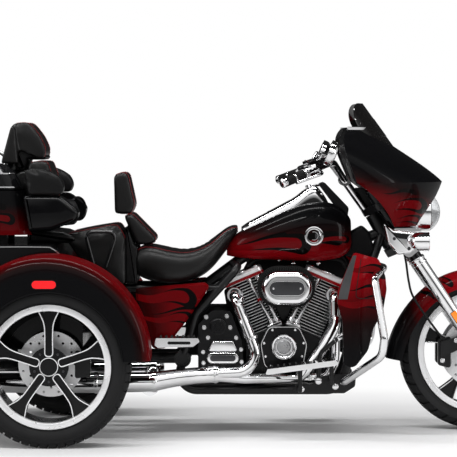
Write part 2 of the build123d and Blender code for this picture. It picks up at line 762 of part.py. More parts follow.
def rear_fender():
    """Arched shell with a flat outer side, open below and at the wheel."""
    place = Pos(FENDER_X, FENDER_FOOT_Z)
    outer = side_slab(place * arch(FENDER_HALF_L, FENDER_RISE), -FENDER_OUT_Y, -FENDER_IN_Y)
    outer = fillet(fender_crown(outer, FENDER_OUT_Y), FENDER_EDGE_R)
    inner_arch = place * arch(FENDER_HALF_L - PANEL, FENDER_RISE - PANEL)
    inner = side_slab(inner_arch, -FENDER_OUT_Y + PANEL, -FENDER_IN_Y - PANEL)
    inner = fillet(fender_crown(inner, FENDER_OUT_Y - PANEL), FENDER_EDGE_R - PANEL)
    wheel = cross_bar(REAR_X, REAR_TYRE_R, WHEEL_OPENING_R, -FENDER_OUT_Y - 1, -FENDER_OUT_Y + 60)
    axle = cross_bar(REAR_X, REAR_TYRE_R, 190, -FENDER_IN_Y - 20, -FENDER_IN_Y + 1)
    return outer - inner - wheel - axle


MARKER_Z = 635.0
MARKER_HALF_L, MARKER_HALF_H = 46.0, 15.0


def lamps_red():
    """Side markers on the fenders and round tail lamps on the trunk."""
    shape = Pos(FENDER_X - 4, MARKER_Z) * stadium(MARKER_HALF_L, MARKER_HALF_H)
    marker = side_slab(shape, -FENDER_OUT_Y - 4, -FENDER_OUT_Y)
    tail_y, tail_z = DOOR_HALF_W + 56, 640.0
    tail = rod((BODY_REAR_X, -tail_y, tail_z), (BODY_REAR_X + 8, -tail_y, tail_z), 36)
    return both(marker) + both(tail)


# Top box


def box_section(x_rear, x_front, half_width, z, corner):
    return Pos((x_rear + x_front) / 2, 0, z) * RectangleRounded(x_front - x_rear, 2 * half_width, corner)


BOX_REAR_X = SEAT_X - 590
BOX_FRONT_X = SEAT_X - 148
BOX_CORNER = 58.0


def box_hollow(z_low, z_high, lean_low, lean_high, inset, narrow):
    """A tapering rounded block; lean shifts the front end forward at each height."""
    rear, front, half = BOX_REAR_X + inset, BOX_FRONT_X - inset, BOX_HALF_W - inset
    corner = BOX_CORNER - inset
    low = box_section(rear + narrow, front + lean_low, half - narrow, z_low, corner)
    high = box_section(rear, front + lean_high, half, z_high, corner)
    return loft([low, high])


def top_box():
    """Luggage tub, open at the top, with the lid's hinge pin along its left edge."""
    outer = box_hollow(BOX_FLOOR_Z, BOX_SPLIT_Z, 30, 0, 0, 22)
    inner = box_hollow(BOX_FLOOR_Z + BOX_WALL, BOX_SPLIT_Z + 1, 30, 0, BOX_WALL, 22)
    pin_y = BOX_HALF_W + 8
    z = BOX_SPLIT_Z + MOVING_GAP / 2
    lugs = [
        Pos(x, BOX_HALF_W + 4, z - 8) * Box(14, 16, 22) for x in (BOX_REAR_X + 90, BOX_FRONT_X - 90)
    ]
    pin = rod((BOX_REAR_X + 90, pin_y, z), (BOX_FRONT_X - 90, pin_y, z), 4)
    return outer - inner + lugs + pin


def top_box_lid():
    """Domed lid, hollow below, with a hinge barrel on its left edge."""
    low_z = BOX_SPLIT_Z + MOVING_GAP
    mid_z = LID_TOP_Z - 34
    skirt = loft(
        [
            box_section(BOX_REAR_X, BOX_FRONT_X, BOX_HALF_W, low_z, BOX_CORNER),
            box_section(BOX_REAR_X + 6, BOX_FRONT_X - 30, BOX_HALF_W - 6, mid_z, BOX_CORNER),
        ]
    )
    crown = loft(
        [
            box_section(BOX_REAR_X + 6, BOX_FRONT_X - 30, BOX_HALF_W - 6, mid_z, BOX_CORNER),
            box_section(BOX_REAR_X + 46, BOX_FRONT_X - 70, BOX_HALF_W - 46, LID_TOP_Z, BOX_CORNER - 14),
        ]
    )
    hollow = loft(
        [
            box_section(BOX_REAR_X + 6, BOX_FRONT_X - 6, BOX_HALF_W - 6, low_z - 1, BOX_CORNER - 6),
            box_section(BOX_REAR_X + 16, BOX_FRONT_X - 40, BOX_HALF_W - 16, mid_z - 4, BOX_CORNER - 10),
        ]
    )
    z = BOX_SPLIT_Z + MOVING_GAP / 2
    barrel_low, barrel_high = BOX_REAR_X + 99, BOX_FRONT_X - 99
    barrel = rod((barrel_low, BOX_HALF_W + 8, z), (barrel_high, BOX_HALF_W + 8, z), 7)
    middle = (barrel_low + barrel_high) / 2
    leaf = Pos(middle, BOX_HALF_W + 2, z + 9) * Box(barrel_high - barrel_low, 12, 10)
    lid = skirt + crown - hollow + leaf + barrel
    pin = rod((barrel_low - 1, BOX_HALF_W + 8, z), (barrel_high + 1, BOX_HALF_W + 8, z), 4 + RUNNING_GAP)
    return lid - pin


def luggage_rack():
    """Bright rails that stand on the lid behind the headrest."""
    rear, front = BOX_REAR_X + 60, BOX_FRONT_X - 110
    z = LID_TOP_Z + 46
    right = [(front, -170, LID_TOP_Z), (front, -170, z), (rear, -170, z)]
    left = [(x, -y, low) for x, y, low in reversed(right)]
    hoop = bent_tube(right + left, [30, 60, 60, 30], 8)
    bars = [rod((rear, y, z), (front - 60, y, z), 6) for y in (-60, 60)]
    cross = rod((front - 66, -170, z), (front - 66, 170, z), 6.5)
    posts = [rod((rear + 70, y, LID_TOP_Z), (rear + 70, y, z), 7) for y in (-170, 170)]
    return hoop + cross + bars + posts


def headrest():
    """Passenger headrest pad with its moulded back shell, fixed on the front of the lid."""
    x = SEAT_X
    pad = [
        (x - 110, 1116),
        (x - 92, 1108),
        (x - 70, 1114),
        (x - 60, 1150),
        (x - 86, 1206),
        (x - 132, 1264),
        (x - 204, 1258),
        (x - 212, 1160),
    ]
    body = side_slab(face(pad, [8, 6, 10, 60, 120, 40, 20, 20]), -146, 146)
    foot_z = LID_TOP_Z + SEAT_GAP
    shell = [(x - 250, foot_z), (x - 206, 1252), (x - 186, 1240), (x - 172, foot_z)]
    foot = side_slab(face(shell, [4, 9, 8, 4]), -170, 170)
    return body + foot


def passenger_backrest():
    """Lumbar pad on the front wall of the tub."""
    x = SEAT_X
    pad = [
        (x - 147.4, BOX_SPLIT_Z - 2),
        (x - 128, 1100),
        (x - 56, 1104),
        (x - 36, 1040),
        (x - 30, 850),
        (x - 60, 836),
        (x - 122.8, 838),
    ]
    return side_slab(face(pad, [4, 14, 18, 30, 20, 10, 6]), -196, 196)


def armrests():
    """A padded arm and a speaker pod each side, wrapped forward from the tub."""
    x = SEAT_X
    arm_z = 968 + SEAT_GAP
    arm = [(x - 140, 1070), (x - 60, 1078), (x + 8, 1040), (x + 24, 1000), (x + 10, arm_z), (x - 120, arm_z)]
    pod = [(x - 144.4, 968), (x + 4, 968), (x + 80, 908), (x + 70, 868), (x - 30, 828), (x - 119.8, 822)]
    pieces = side_slab(face(arm, [10, 80, 40, 20, 12, 14]), -336, -226)
    pieces += side_slab(face(pod, [12, 46, 28, 28, 30, 10]), -332, -216)
    return both(pieces)


def box_carrier():
    """Dark stays that carry the tub above the trunk."""
    low, high = TRUNK_TOP_Z + SEAT_GAP, BOX_FLOOR_Z - SEAT_GAP
    x, z = (BOX_REAR_X + BOX_FRONT_X) / 2, (low + high) / 2
    rails = [Pos(x, y, z) * Box(300, 40, high - low) for y in (-150, 150)]
    web = Pos(x, 0, z) * Box(60, 300, 24)
    return rails[0] + rails[1] + web


def side_cover():
    """Painted cover between the seat and the engine, on the frame's side tube."""
    outline = [(-404, 590), (-124, 614), (-104, 598), (-196, 462), (-284, 348), (-334, 346), (-398, 500)]
    inside = -FRAME_SIDE_Y - TUBE_R - SEAT_GAP
    body = side_slab(face(outline, [10, 12, 14, 60, 16, 20, 60]), inside - 36, inside)
    outer = body.faces().sort_by(Axis.Y)[0]
    stud = rod((-320, inside - 4, 580), (-320, -SUBFRAME_Y - SUBFRAME_R - SEAT_GAP, 580), 7)
    return chamfer(outer.edges(), 9) + stud


# Leg shields, guard and controls


GUARD_R = 16.0
BRACKET_T = 12.0


def guard_points():
    """Right half of the engine guard, from the frame rail up to the machine's centre plane."""
    return [
        (436, -RAIL_Y - TUBE_R - BRACKET_T - 2 * SEAT_GAP, 214),
        (436, -216, 214),
        (578, -392, 334),
        (586, -404, 404),
        (548, -356, 640),
        (590, -180, 664),
        (608, 0, 664),
    ]


def engine_guard(radius=GUARD_R):
    right = guard_points()
    left = [(x, -y, z) for x, y, z in reversed(right[:-1])]
    return bent_tube(right + left, [44, 60, 40, 36, 120, 200, 120, 36, 40, 60, 44], radius)


def lower_fairing():
    """Leg shield: a bowed panel from the frame out past the rider's shin."""
    side = [
        (470, 742),
        (572, 712),
        (602, 640),
        (608, 586),
        (590, 500),
        (548, 434),
        (528, 350),
        (466, 276),
        (428, 300),
        (424, 470),
        (396, 566),
    ]
    outline = side_slab(face(side, [14, 20, 60, 60, 80, 60, 60, 30, 20, 60, 20]), -380, -110)
    outer_arc = [
        ThreePointArc((620, -118), (578, -262), (404, -346)),
        Line((404, -346), (404, -322)),
        ThreePointArc((404, -322), (548, -246), (588, -118)),
        Line((588, -118), (620, -118)),
    ]
    bowed = plan_slab(make_face(outer_arc), 200, 800)
    return (outline & bowed) - engine_guard(GUARD_R + SEAT_GAP)


BOARD_IN_Y, BOARD_OUT_Y = 216.0, 330.0


def footboards():
    """Rider's boards on pegs from the brackets, and passenger boards on the frame's side tubes."""
    rider_line = [(118, 256), (126, 276), (398, 312), (410, 300), (398, 290), (130, 254)]
    rider = side_slab(face(rider_line, 4), -BOARD_OUT_Y, -BOARD_IN_Y)
    passenger_line = [(-324, 372), (-318, 400), (-150, 400), (-144, 386), (-170, 366), (-310, 362)]
    passenger = side_slab(face(passenger_line, [6, 6, 6, 5, 10, 8]), -BOARD_OUT_Y, -BOARD_IN_Y)
    peg = rod((-192, -BOARD_IN_Y - 4, 384), (-192, -FRAME_SIDE_Y - 8, 384), 11)
    tube_foot = (SWING_PIVOT_X, -RAIL_Y - 8, SWING_PIVOT_Z)
    side_tube = rod((-160, -FRAME_SIDE_Y, 485), tube_foot, TUBE_R + SEAT_GAP)
    return both(rider) + both(passenger + (peg - side_tube))


def board_brackets():
    """Plates on the lower rails with the pegs that carry the rider's boards."""
    inside = -RAIL_Y - TUBE_R - SEAT_GAP
    outline = [(236, 162), (440, 162), (484, 190), (488, 236), (430, 240), (352, 232), (310, 200), (240, 196)]
    plate = side_slab(face(outline, [8, 16, 14, 14, 20, 20, 20, 8]), inside - BRACKET_T, inside)
    pegs = [
        bent_tube([(x, inside - 4, z), (x, -262, z), (x, -262, board_z)], 24, 9)
        for x, z, board_z in ((258, 180, 269.6), (384, 214, 286.6))
    ]
    return both(plate + pegs)


def foot_controls():
    """Brake pedal on the right and heel-toe shift lever on the left."""
    arm = bent_tube([(334, -190, 216), (338, -206, 330), (416, -250, 396)], 60, 9)
    pad = Pos(424, -264, 404) * Rot(0, -32, 0) * Box(60, 46, 14)
    pivot = cross_bar(334, 216, 15, -200, -RAIL_Y - TUBE_R - BRACKET_T - 2 * SEAT_GAP)
    shift = bent_tube([(170, 262, 350), (290, 252, 330), (404, 262, 372)], 60, 8)
    toe = cross_bar(404, 373, 11, 258, 300)
    heel = cross_bar(170, 352, 11, 262, 310)
    shaft = cross_bar(290, 333, 12, CASE_HALF_W + 96 + SEAT_GAP, 256)
    return (arm + pad + pivot) + (shift + toe + heel + shaft)


# Steering: fork, front fender, fairing and handlebar


def fork_point(z):
    """A point of the right fork leg's centre line at height z."""
    return (FRONT_X - (z - FRONT_TYRE_R) * tan(radians(FORK_ANGLE)), -FORK_Y, z)


def fork_tube(radius=FORK_TUBE_R):
    return rod(fork_point(SLIDER_TOP_Z), fork_point(FORK_TOP_Z), radius)


def triple_clamps():
    """Upper and lower clamps joined by the steering stem, with the bracket for the fairing."""
    half = HEAD_LENGTH / 2 + MOVING_GAP
    clamps = rod(tuple(head_point(-half - CLAMP_T)), tuple(head_point(half + CLAMP_T)), STEM_R)
    for along in (-half - CLAMP_T, half):
        origin = head_point(along)
        plane = Plane(origin=tuple(origin), x_dir=(0, 1, 0), z_dir=tuple(AXIS_UP))
        wide = FORK_Y + FORK_TUBE_R + 10
        outline = [(-wide, -96), (wide, -96), (wide, -20), (40, 34), (-40, 34), (-wide, -20)]
        clamps += extrude(plane * face(outline, [34, 34, 20, 16, 16, 20]), CLAMP_T)
    top = FAIRING_BACK_LOW_Z
    clamps += side_slab(face([(532, 905), (578, 930), (520, top), (488, top)], 4), -30, 30)
    return clamps - both(fork_tube())


def fork_sliders():
    """Bright lower legs with the axle bosses at their feet."""
    top = fork_point(SLIDER_TOP_Z)
    leg = rod(fork_point(FRONT_TYRE_R - 6), top, SLIDER_R)
    boss = cross_bar(FRONT_X, FRONT_TYRE_R, 33, -FORK_Y - SLIDER_R - 2, -FORK_Y + SLIDER_R + 2)
    return both(leg + boss - cross_bar(FRONT_X, FRONT_TYRE_R, FRONT_AXLE_R + RUNNING_GAP, -200, 0))


def front_axle():
    end = FORK_Y + SLIDER_R + 8
    axle = cross_bar(FRONT_X, FRONT_TYRE_R, FRONT_AXLE_R, -end, end)
    return axle + both(cross_bar(FRONT_X, FRONT_TYRE_R, 19, -end - 10, -end))


def front_calipers():
    """Behind the fork legs, on arms that bolt to the sliders."""
    slot_half = DISC_T / 2 + MOVING_GAP
    body = on_axle(caliper(FRONT_DISC_R, slot_half, -1, 18, 18), FRONT_X, -FRONT_DISC_Y, FRONT_TYRE_R)
    arm_in = FRONT_DISC_Y + slot_half
    outline = [(-FRONT_DISC_R - 10, -20), (-20, 40), (-44, 78), (-FRONT_DISC_R - 10, 44)]
    arm = side_slab(Pos(FRONT_X, FRONT_TYRE_R) * face(outline, 6), -FORK_Y + 10, -arm_in)
    leg = rod(fork_point(FRONT_TYRE_R - 60), fork_point(SLIDER_TOP_Z), SLIDER_R + SEAT_GAP)
    keep = Pos(FRONT_X - 150, 0, FRONT_TYRE_R) * Box(300, 400, 300)
    return both(((body + arm) - leg) & keep)


FENDER_SKIN = 4.0
FENDER_CROWN_R = FRONT_TYRE_R + 16.0
FENDER_SKIRT = 66.0
FENDER_CORNER_R = 52.0
FENDER_HALF_W = FORK_Y - SLIDER_R - SEAT_GAP
FENDER_FRONT_ANGLE = 22.0
FENDER_FLARE_ANGLE = 130.0
FENDER_FLARE_R = 470.0
FENDER_TAIL_Z = 296.0


def fender_section(crown):
    """The fender's cut across the tyre, (radius, across), with its crown at that radius."""
    foot, half = crown - FENDER_SKIRT, FENDER_HALF_W
    corner, skin = FENDER_CORNER_R, FENDER_SKIN
    outside = face([(foot, -half), (crown, -half), (crown, half), (foot, half)], [0, corner, corner, 0])
    foot, crown, half, corner = foot - 1, crown - skin, half - skin, corner - skin
    inside = face([(foot, -half), (crown, -half), (crown, half), (foot, half)], [0, corner, corner, 0])
    return outside - inside


def fender_turn(centre_x, centre_z, crown, start, stop):
    """The section carried round an axis across the machine, between two angles above the horizon ahead."""
    out = Vector(cos(radians(start)), 0, sin(radians(start)))
    plane = Plane(origin=(centre_x, 0, centre_z), x_dir=tuple(out), z_dir=(out.Z, 0, -out.X))
    axis = Axis((centre_x, 0, centre_z), (0, -1, 0))
    return revolve(plane * fender_section(crown), axis, stop - start)


def front_fender():
    """Close over the tyre in front, flared away from it behind."""
    over = fender_turn(FRONT_X, FRONT_TYRE_R, FENDER_CROWN_R, FENDER_FRONT_ANGLE, FENDER_FLARE_ANGLE)
    angle = radians(FENDER_FLARE_ANGLE)
    back = FENDER_FLARE_R - FENDER_CROWN_R
    centre_x, centre_z = FRONT_X - back * cos(angle), FRONT_TYRE_R - back * sin(angle)
    rise = (FENDER_TAIL_Z - centre_z) / FENDER_FLARE_R
    tail_angle = degrees(atan2(rise, -sqrt(1 - rise * rise)))
    return over + fender_turn(centre_x, centre_z, FENDER_FLARE_R, FENDER_FLARE_ANGLE, tail_angle)


# z, x at the back, x at the nose, half width at the back
FAIRING_LOWER = [(838, 640, 748, 176), (930, 582, 806, 280), (1019, 478, 846, 392)]
FAIRING_UPPER = [(1019, 478, 846, 392), (1100, 446, 742, 412), (1171, 426, 634, 396), (1238, 448, 550, 282)]
FAIRING_BACK_LOW_Z = 992.0


def bow(z, back, nose, half):
    """A level cut through the fairing: straight behind, bowed in front."""
    front = ThreePointArc((back, -half), (nose, 0), (back, half))
    return Pos(0, 0, z) * make_face([front, Line((back, half), (back, -half))])


def fairing_loft(rows, inset=0.0, behind=0.0, low=0.0, high=0.0):
    """The fairing's form between the first and last rows, drawn in by a wall."""
    last = len(rows) - 1
    cuts = []
    for i, (z, back, nose, half) in enumerate(rows):
        shift = -low if i == 0 else (high if i == last else 0.0)
        cuts.append(bow(z + shift, back - behind, nose - inset, half - inset))
    return loft(cuts)


LAMP_X, LAMP_Z = 760.0, 892.0
LAMP_R = 78.0


def fairing():
    """Fork-mounted shell with a sharp beak over the headlamp, open behind and below."""
    outer = fairing_loft(FAIRING_LOWER) + fairing_loft(FAIRING_UPPER)
    inner = fairing_loft(FAIRING_LOWER, PANEL, 20, low=1)
    inner += fairing_loft(FAIRING_UPPER, PANEL, 20, high=-PANEL)
    lamp = rod((LAMP_X - 120, 0, LAMP_Z), (LAMP_X + 120, 0, LAMP_Z), LAMP_R + SEAT_GAP)
    return outer - inner - lamp


def inner_fairing():
    """Instrument panel that closes the back of the fairing above the fork."""
    wall = PANEL + SEAT_GAP
    inside = fairing_loft(FAIRING_LOWER, wall, 20) + fairing_loft(FAIRING_UPPER, wall, 20, high=-wall)
    slab = [(FAIRING_BACK_LOW_Z, 510), *[(z, back) for z, back, _, _ in FAIRING_UPPER]]
    front, deep = 8.0, 24.0
    back_line = [(x + front, z) for z, x in slab]
    front_line = [(x + front + deep, z) for z, x in reversed(slab)]
    panel = side_slab(make_face(Polyline(*back_line, *front_line, close=True)), -420, 420)
    return panel & inside


def windshield():
    """Short smoked screen, bowed in plan and leaning back."""
    lean = Vector(-0.585, 0, 0.811)
    low_z, high_z = 1164.0, 1337.0
    length = (high_z - low_z) / lean.Z
    band = [
        ThreePointArc((540, -236), (646, 0), (540, 236)),
        Line((540, 236), (535, 236)),
        ThreePointArc((535, 236), (641, 0), (535, -236)),
        Line((535, -236), (540, -236)),
    ]
    sheet = extrude(Pos(0, 0, low_z) * make_face(band), length, dir=tuple(lean))
    middle = (low_z + high_z) / 2
    crop = Plane(origin=(400, 0, middle), x_dir=(0, 1, 0), z_dir=(1, 0, 0)) * (
        Pos(0, -40) * RectangleRounded(452, high_z - low_z + 80, 110)
    )
    keep = extrude(crop, 400)
    outer = fairing_loft(FAIRING_UPPER, -SEAT_GAP)
    return (sheet & keep) - outer


def headlamp():
    """Main lamp in the fairing's nose."""
    back, front, bulge = -80.0, 34.0, 46.0
    lens_r = (LAMP_R**2 + bulge**2) / (2 * bulge)
    middle = front + bulge - lens_r
    half = atan2(LAMP_R, front - middle) / 2
    outline = [
        Line((0, back), (LAMP_R, back)),
        Line((LAMP_R, back), (LAMP_R, front)),
        ThreePointArc((LAMP_R, front), (lens_r * sin(half), middle + lens_r * cos(half)), (0, front + bulge)),
        Line((0, front + bulge), (0, back)),
    ]
    return Pos(LAMP_X, 0, LAMP_Z) * Rot(0, 90, 0) * revolve(Plane.XZ * make_face(outline), Axis.Z)


NACELLE_Y = 168.0


def fork_nacelle():
    """Bright cowl round the fork below the fairing, with the passing-lamp arms."""
    outline = [(636, 832), (744, 832), (764, 792), (742, 744), (700, 708), (652, 752)]
    cowl = side_slab(face(outline, [10, 16, 24, 24, 20, 20]), -NACELLE_Y, NACELLE_Y)
    arm = passing_arm(-1) + passing_arm(1)
    cut = both(fork_tube(FORK_TUBE_R + SEAT_GAP))
    cut += rod(tuple(head_point(-140)), tuple(head_point(40)), HEAD_R + 14)
    half = HEAD_LENGTH / 2 + MOVING_GAP
    below = head_point(-half - CLAMP_T - SEAT_GAP)
    clamp = Plane(origin=tuple(below), x_dir=(0, 1, 0), z_dir=tuple(AXIS_UP))
    cut += extrude(clamp * (Pos(0, -42) * Rectangle(2 * NACELLE_Y + 10, 169)), CLAMP_T + 2 * SEAT_GAP)
    cut += rod((LAMP_X - 140, 0, LAMP_Z), (LAMP_X + 100, 0, LAMP_Z), LAMP_R + 2 * SEAT_GAP)
    return (cowl - cut) + (arm - cut)


PASSING_Y, PASSING_Z = 214.0, 780.0
PASSING_R = 38.0


def passing_arm(side, grow=0.0):
    """The stay of a passing lamp, or that stay a little larger for its socket in the lamp."""
    foot = Vector(724, side * (NACELLE_Y - 10), 772)
    end = Vector(748, side * PASSING_Y, PASSING_Z)
    end += (end - foot).normalized() * grow
    return rod(tuple(foot), tuple(end), 12 + grow)


def passing_lamp(side):
    """One of the smaller round lamps at the sides of the fork, with a domed back."""
    back = Vector(736, side * PASSING_Y, PASSING_Z)
    bucket = rod(tuple(back), tuple(back + Vector(42, 0, 0)), PASSING_R)
    dome = Pos(back) * Sphere(PASSING_R)
    return bucket + dome - passing_arm(side, SEAT_GAP)


BAR_R = 12.7
GRIP_R = 17.5
GRIP_LENGTH = 128.0
BAR_END = Vector(186, -404, 1018)
BAR_KNEE = Vector(392, -214, 1100)
BAR_RISER = Vector(446, -70, 1022)


def bar_point(along):
    """A point of the right-hand grip's centre line, measured in from its end."""
    return BAR_END + (BAR_KNEE - BAR_END).normalized() * along


def handlebar():
    """One bent bar and the two risers that hold it on the upper clamp."""
    right = [tuple(p) for p in (BAR_END, BAR_KNEE, BAR_RISER)]
    left = [(x, -y, z) for x, y, z in reversed(right)]
    bar = bent_tube(right + left, [46, 30, 30, 46], BAR_R)
    foot = head_point(HEAD_LENGTH / 2 + MOVING_GAP + CLAMP_T + SEAT_GAP)
    riser = rod((BAR_RISER.X, -52, BAR_RISER.Z), (foot.X - 16, -52, foot.Z - 10), 15)
    clamp = cross_bar(BAR_RISER.X, BAR_RISER.Z, 22, -74, -34)
    plane = Plane(origin=tuple(foot), z_dir=tuple(AXIS_UP))
    below = extrude(plane * Rectangle(300, 300), -60)
    return bar + both((riser - below) + clamp)


def grips():
    sleeve = rod(tuple(bar_point(-4)), tuple(bar_point(GRIP_LENGTH)), GRIP_R)
    bore = rod(tuple(bar_point(0)), tuple(bar_point(GRIP_LENGTH + 1)), BAR_R + SEAT_GAP * 0.5)
    return both(sleeve - bore)


def reservoir(middle, grow=0.0):
    """The fluid tank above a hand control, or that block a little larger for what fits round it."""
    place = Pos(middle.X + 18, middle.Y + 4, middle.Z + 30) * Rot(0, -18, 42)
    return place * Box(62 + 2 * grow, 44 + 2 * grow, 26 + 2 * grow)


def hand_controls():
    """Switch housing, reservoir and lever inboard of each grip."""
    low, high = bar_point(GRIP_LENGTH + 2), bar_point(GRIP_LENGTH + 62)
    housing = rod(tuple(low), tuple(high), 25)
    middle = bar_point(GRIP_LENGTH + 40)
    tank = reservoir(middle)
    lever = bent_tube(
        [
            (middle.X + 26, middle.Y - 4, middle.Z + 6),
            (middle.X + 40, middle.Y - 62, middle.Z - 10),
            (BAR_END.X + 52, BAR_END.Y - 34, BAR_END.Z + 2),
        ],
        24,
        6,
    )
    bore = rod(tuple(bar_point(0)), tuple(bar_point(GRIP_LENGTH + 125)), BAR_R + SEAT_GAP * 0.5)
    return both(housing + tank + lever - bore)


MIRROR_Y = 424.0


def mirrors():
    """Oval mirror heads on bent stems from the hand controls."""
    head_plane = Plane(origin=(362, -MIRROR_Y, 1140), x_dir=(0, 1, 0), z_dir=(-0.92, 0.0, 0.39))
    head = extrude(head_plane * Ellipse(80, 52), -16)
    root = bar_point(GRIP_LENGTH + 40)
    path = [
        (root.X + 24, root.Y - 2, root.Z + 44),
        (root.X + 40, root.Y - 30, root.Z + 70),
        (366, -MIRROR_Y + 8, 1128),
    ]
    return both(head + bent_tube(path, 20, 6) - reservoir(root, SEAT_GAP))


def front_wheel(piece):
    return on_axle(piece, FRONT_X, 0, FRONT_TYRE_R)


def right_wheel(piece):
    return on_axle(piece, REAR_X, -REAR_TRACK / 2, REAR_TYRE_R)


def left_wheel(piece):
    return mirror(right_wheel(piece), about=Plane.XZ)


def nodes():
    """Every piece by its name."""
    rear_disc = disc(REAR_DISC_R, REAR_HUB_R, -48)
    made = {
        "frame": frame(),
        "rear_axle": rear_axle() + both(rear_caliper()),
        "crankcase": crankcase(),
        "gearbox": gearbox(),
        "cylinders": cylinder(1) + cylinder(-1),
        "rocker_bases": rocker_base(1) + rocker_base(-1),
        "rocker_covers": rocker_cover(1) + rocker_cover(-1),
        "pushrod_tubes": Part() + pushrods(1) + pushrods(-1),
        "cam_cover": cam_cover(),
        "air_cleaner": air_cleaner(),
        "primary_cover": primary_cover(),
        "exhaust": exhaust(),
        "fuel_tank": fuel_tank(),
        "tank_console": tank_console(),
        "dash_apron": dash_apron(),
        "rider_seat": rider_seat(),
        "pillion_seat": pillion_seat(),
        "rider_backrest": rider_backrest(),
        "grab_rails": grab_rails(),
        "trunk": trunk(),
        "rear_fenders": both(rear_fender()),
        "red_lamps": lamps_red(),
        "top_box": top_box(),
        "box_carrier": box_carrier(),
        "passenger_backrest": passenger_backrest(),
        "armrests": armrests(),
        "side_covers": both(side_cover()),
        "lower_fairings": both(lower_fairing()),
        "engine_guard": engine_guard(),
        "footboards": footboards(),
        "foot_controls": board_brackets() + foot_controls(),
        "trunk_door": trunk_door(),
        "top_box_lid": top_box_lid(),
        "luggage_rack": luggage_rack(),
        "headrest": headrest(),
        "triple_clamps": triple_clamps(),
        "fork_tubes": both(fork_tube()),
        "fork_sliders": fork_sliders(),
        "front_axle": front_axle() + front_calipers(),
        "front_fender": front_fender(),
        "fairing": fairing(),
        "inner_fairing": inner_fairing(),
        "windshield": windshield(),
        "headlamps": headlamp() + passing_lamp(-1) + passing_lamp(1),
        "fork_nacelle": fork_nacelle(),
        "handlebar": handlebar(),
        "grips": grips(),
        "hand_controls": hand_controls(),
        "mirrors": mirrors(),
        "front_tyre": front_wheel(front_tyre()),
        "front_rim": front_wheel(front_rim()),
        "front_discs": front_wheel(
            disc(FRONT_DISC_R, FRONT_HUB_R, FRONT_DISC_Y) + disc(FRONT_DISC_R, FRONT_HUB_R, -FRONT_DISC_Y)
        ),
    }
    for side, place in (("right", right_wheel), ("left", left_wheel)):
        made[f"rear_tyre_{side}"] = place(rear_tyre())
        made[f"rear_rim_{side}"] = place(rear_rim())
        made[f"rear_disc_{side}"] = place(rear_disc)
    return made


os.makedirs("parts", exist_ok=True)
for name, piece in nodes().items():
    export_step(piece, f"parts/{name}.step")
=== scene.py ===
"""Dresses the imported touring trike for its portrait: finishes, trim, upholstery and fittings.

Sizes and places are millimetres in the machine's own frame: +X forward, +Y to the rider's left, +Z up.
"""

import logging
from dataclasses import dataclass
from enum import Enum
from math import asin, atan2, cos, pi, radians, sin, tan
from typing import Iterable, Sequence

import bmesh
import bpy
from bmesh.types import BMEdge, BMesh, BMVert
from bpy.types import Material, Mesh, Node, NodeSocket, NodeTree, Object, Scene
from mathutils import Euler, Matrix, Vector
from mathutils.bvhtree import BVHTree


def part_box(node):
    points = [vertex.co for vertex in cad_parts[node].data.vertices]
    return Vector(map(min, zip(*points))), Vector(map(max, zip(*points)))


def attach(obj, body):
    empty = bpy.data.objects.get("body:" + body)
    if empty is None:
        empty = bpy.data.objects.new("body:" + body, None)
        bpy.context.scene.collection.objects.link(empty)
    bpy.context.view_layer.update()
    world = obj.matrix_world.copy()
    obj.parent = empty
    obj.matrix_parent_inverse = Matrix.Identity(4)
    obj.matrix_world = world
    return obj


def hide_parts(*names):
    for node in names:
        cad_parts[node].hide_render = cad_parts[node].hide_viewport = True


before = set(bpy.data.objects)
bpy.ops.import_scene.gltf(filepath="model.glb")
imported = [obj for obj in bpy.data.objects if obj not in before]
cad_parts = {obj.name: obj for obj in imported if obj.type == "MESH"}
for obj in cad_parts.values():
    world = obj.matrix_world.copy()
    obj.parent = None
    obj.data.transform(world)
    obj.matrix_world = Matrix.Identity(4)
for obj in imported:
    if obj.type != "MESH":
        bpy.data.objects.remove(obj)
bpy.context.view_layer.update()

log = logging.getLogger("trike")
Point = tuple[float, float, float]
Flat = tuple[float, float]
Place = tuple[Vector, Vector, float]
Colour = tuple[float, float, float]
MM = 0.001
CRISP = 35.0
TO_RIGHT: Point = (0, -1, 0)
RIGHT, LEFT = -1, 1


class Body(str, Enum):
    """The rigid bodies that pieces ride on."""

    CHASSIS = "chassis"
    FORK = "fork"
    FRONT_WHEEL = "front_wheel"
    RIGHT_WHEEL = "rear_wheel_right"
    LEFT_WHEEL = "rear_wheel_left"
    LID = "top_box_lid"
    DOOR = "trunk_door"


class Slot(str, Enum):
    """The record's material slots used by added pieces."""

    CHROME = "chrome"
    RED = "candy_red"
    SATIN = "satin_black"
    STEEL = "steel"
    TYRE = "tyre"
    SEAT = "seat"
    PLASTIC = "black_plastic"
    RUBBER = "rubber"
    LENS = "lens"
    RED_LENS = "red_lens"
    BAND = "red_band"
    ENGINE = "engine_black"


SLOT_OF = {
    "chrome": Slot.CHROME, "mirror": Slot.CHROME, "machined": Slot.STEEL, "steel": Slot.STEEL,
    "dark_metal": Slot.STEEL, "grey_metal": Slot.STEEL, "satin": Slot.SATIN, "engine": Slot.ENGINE,
    "plastic": Slot.PLASTIC, "grey_plastic": Slot.PLASTIC, "grille": Slot.PLASTIC, "smoke": Slot.PLASTIC,
    "gloss": Slot.PLASTIC, "rubber": Slot.RUBBER, "tyre": Slot.TYRE, "hide": Slot.SEAT,
    "vinyl": Slot.SEAT, "thread": Slot.BAND, "red": Slot.BAND, "clear": Slot.LENS, "amber": Slot.RED_LENS,
    "rear_fender": Slot.RED,
}


# Node trees


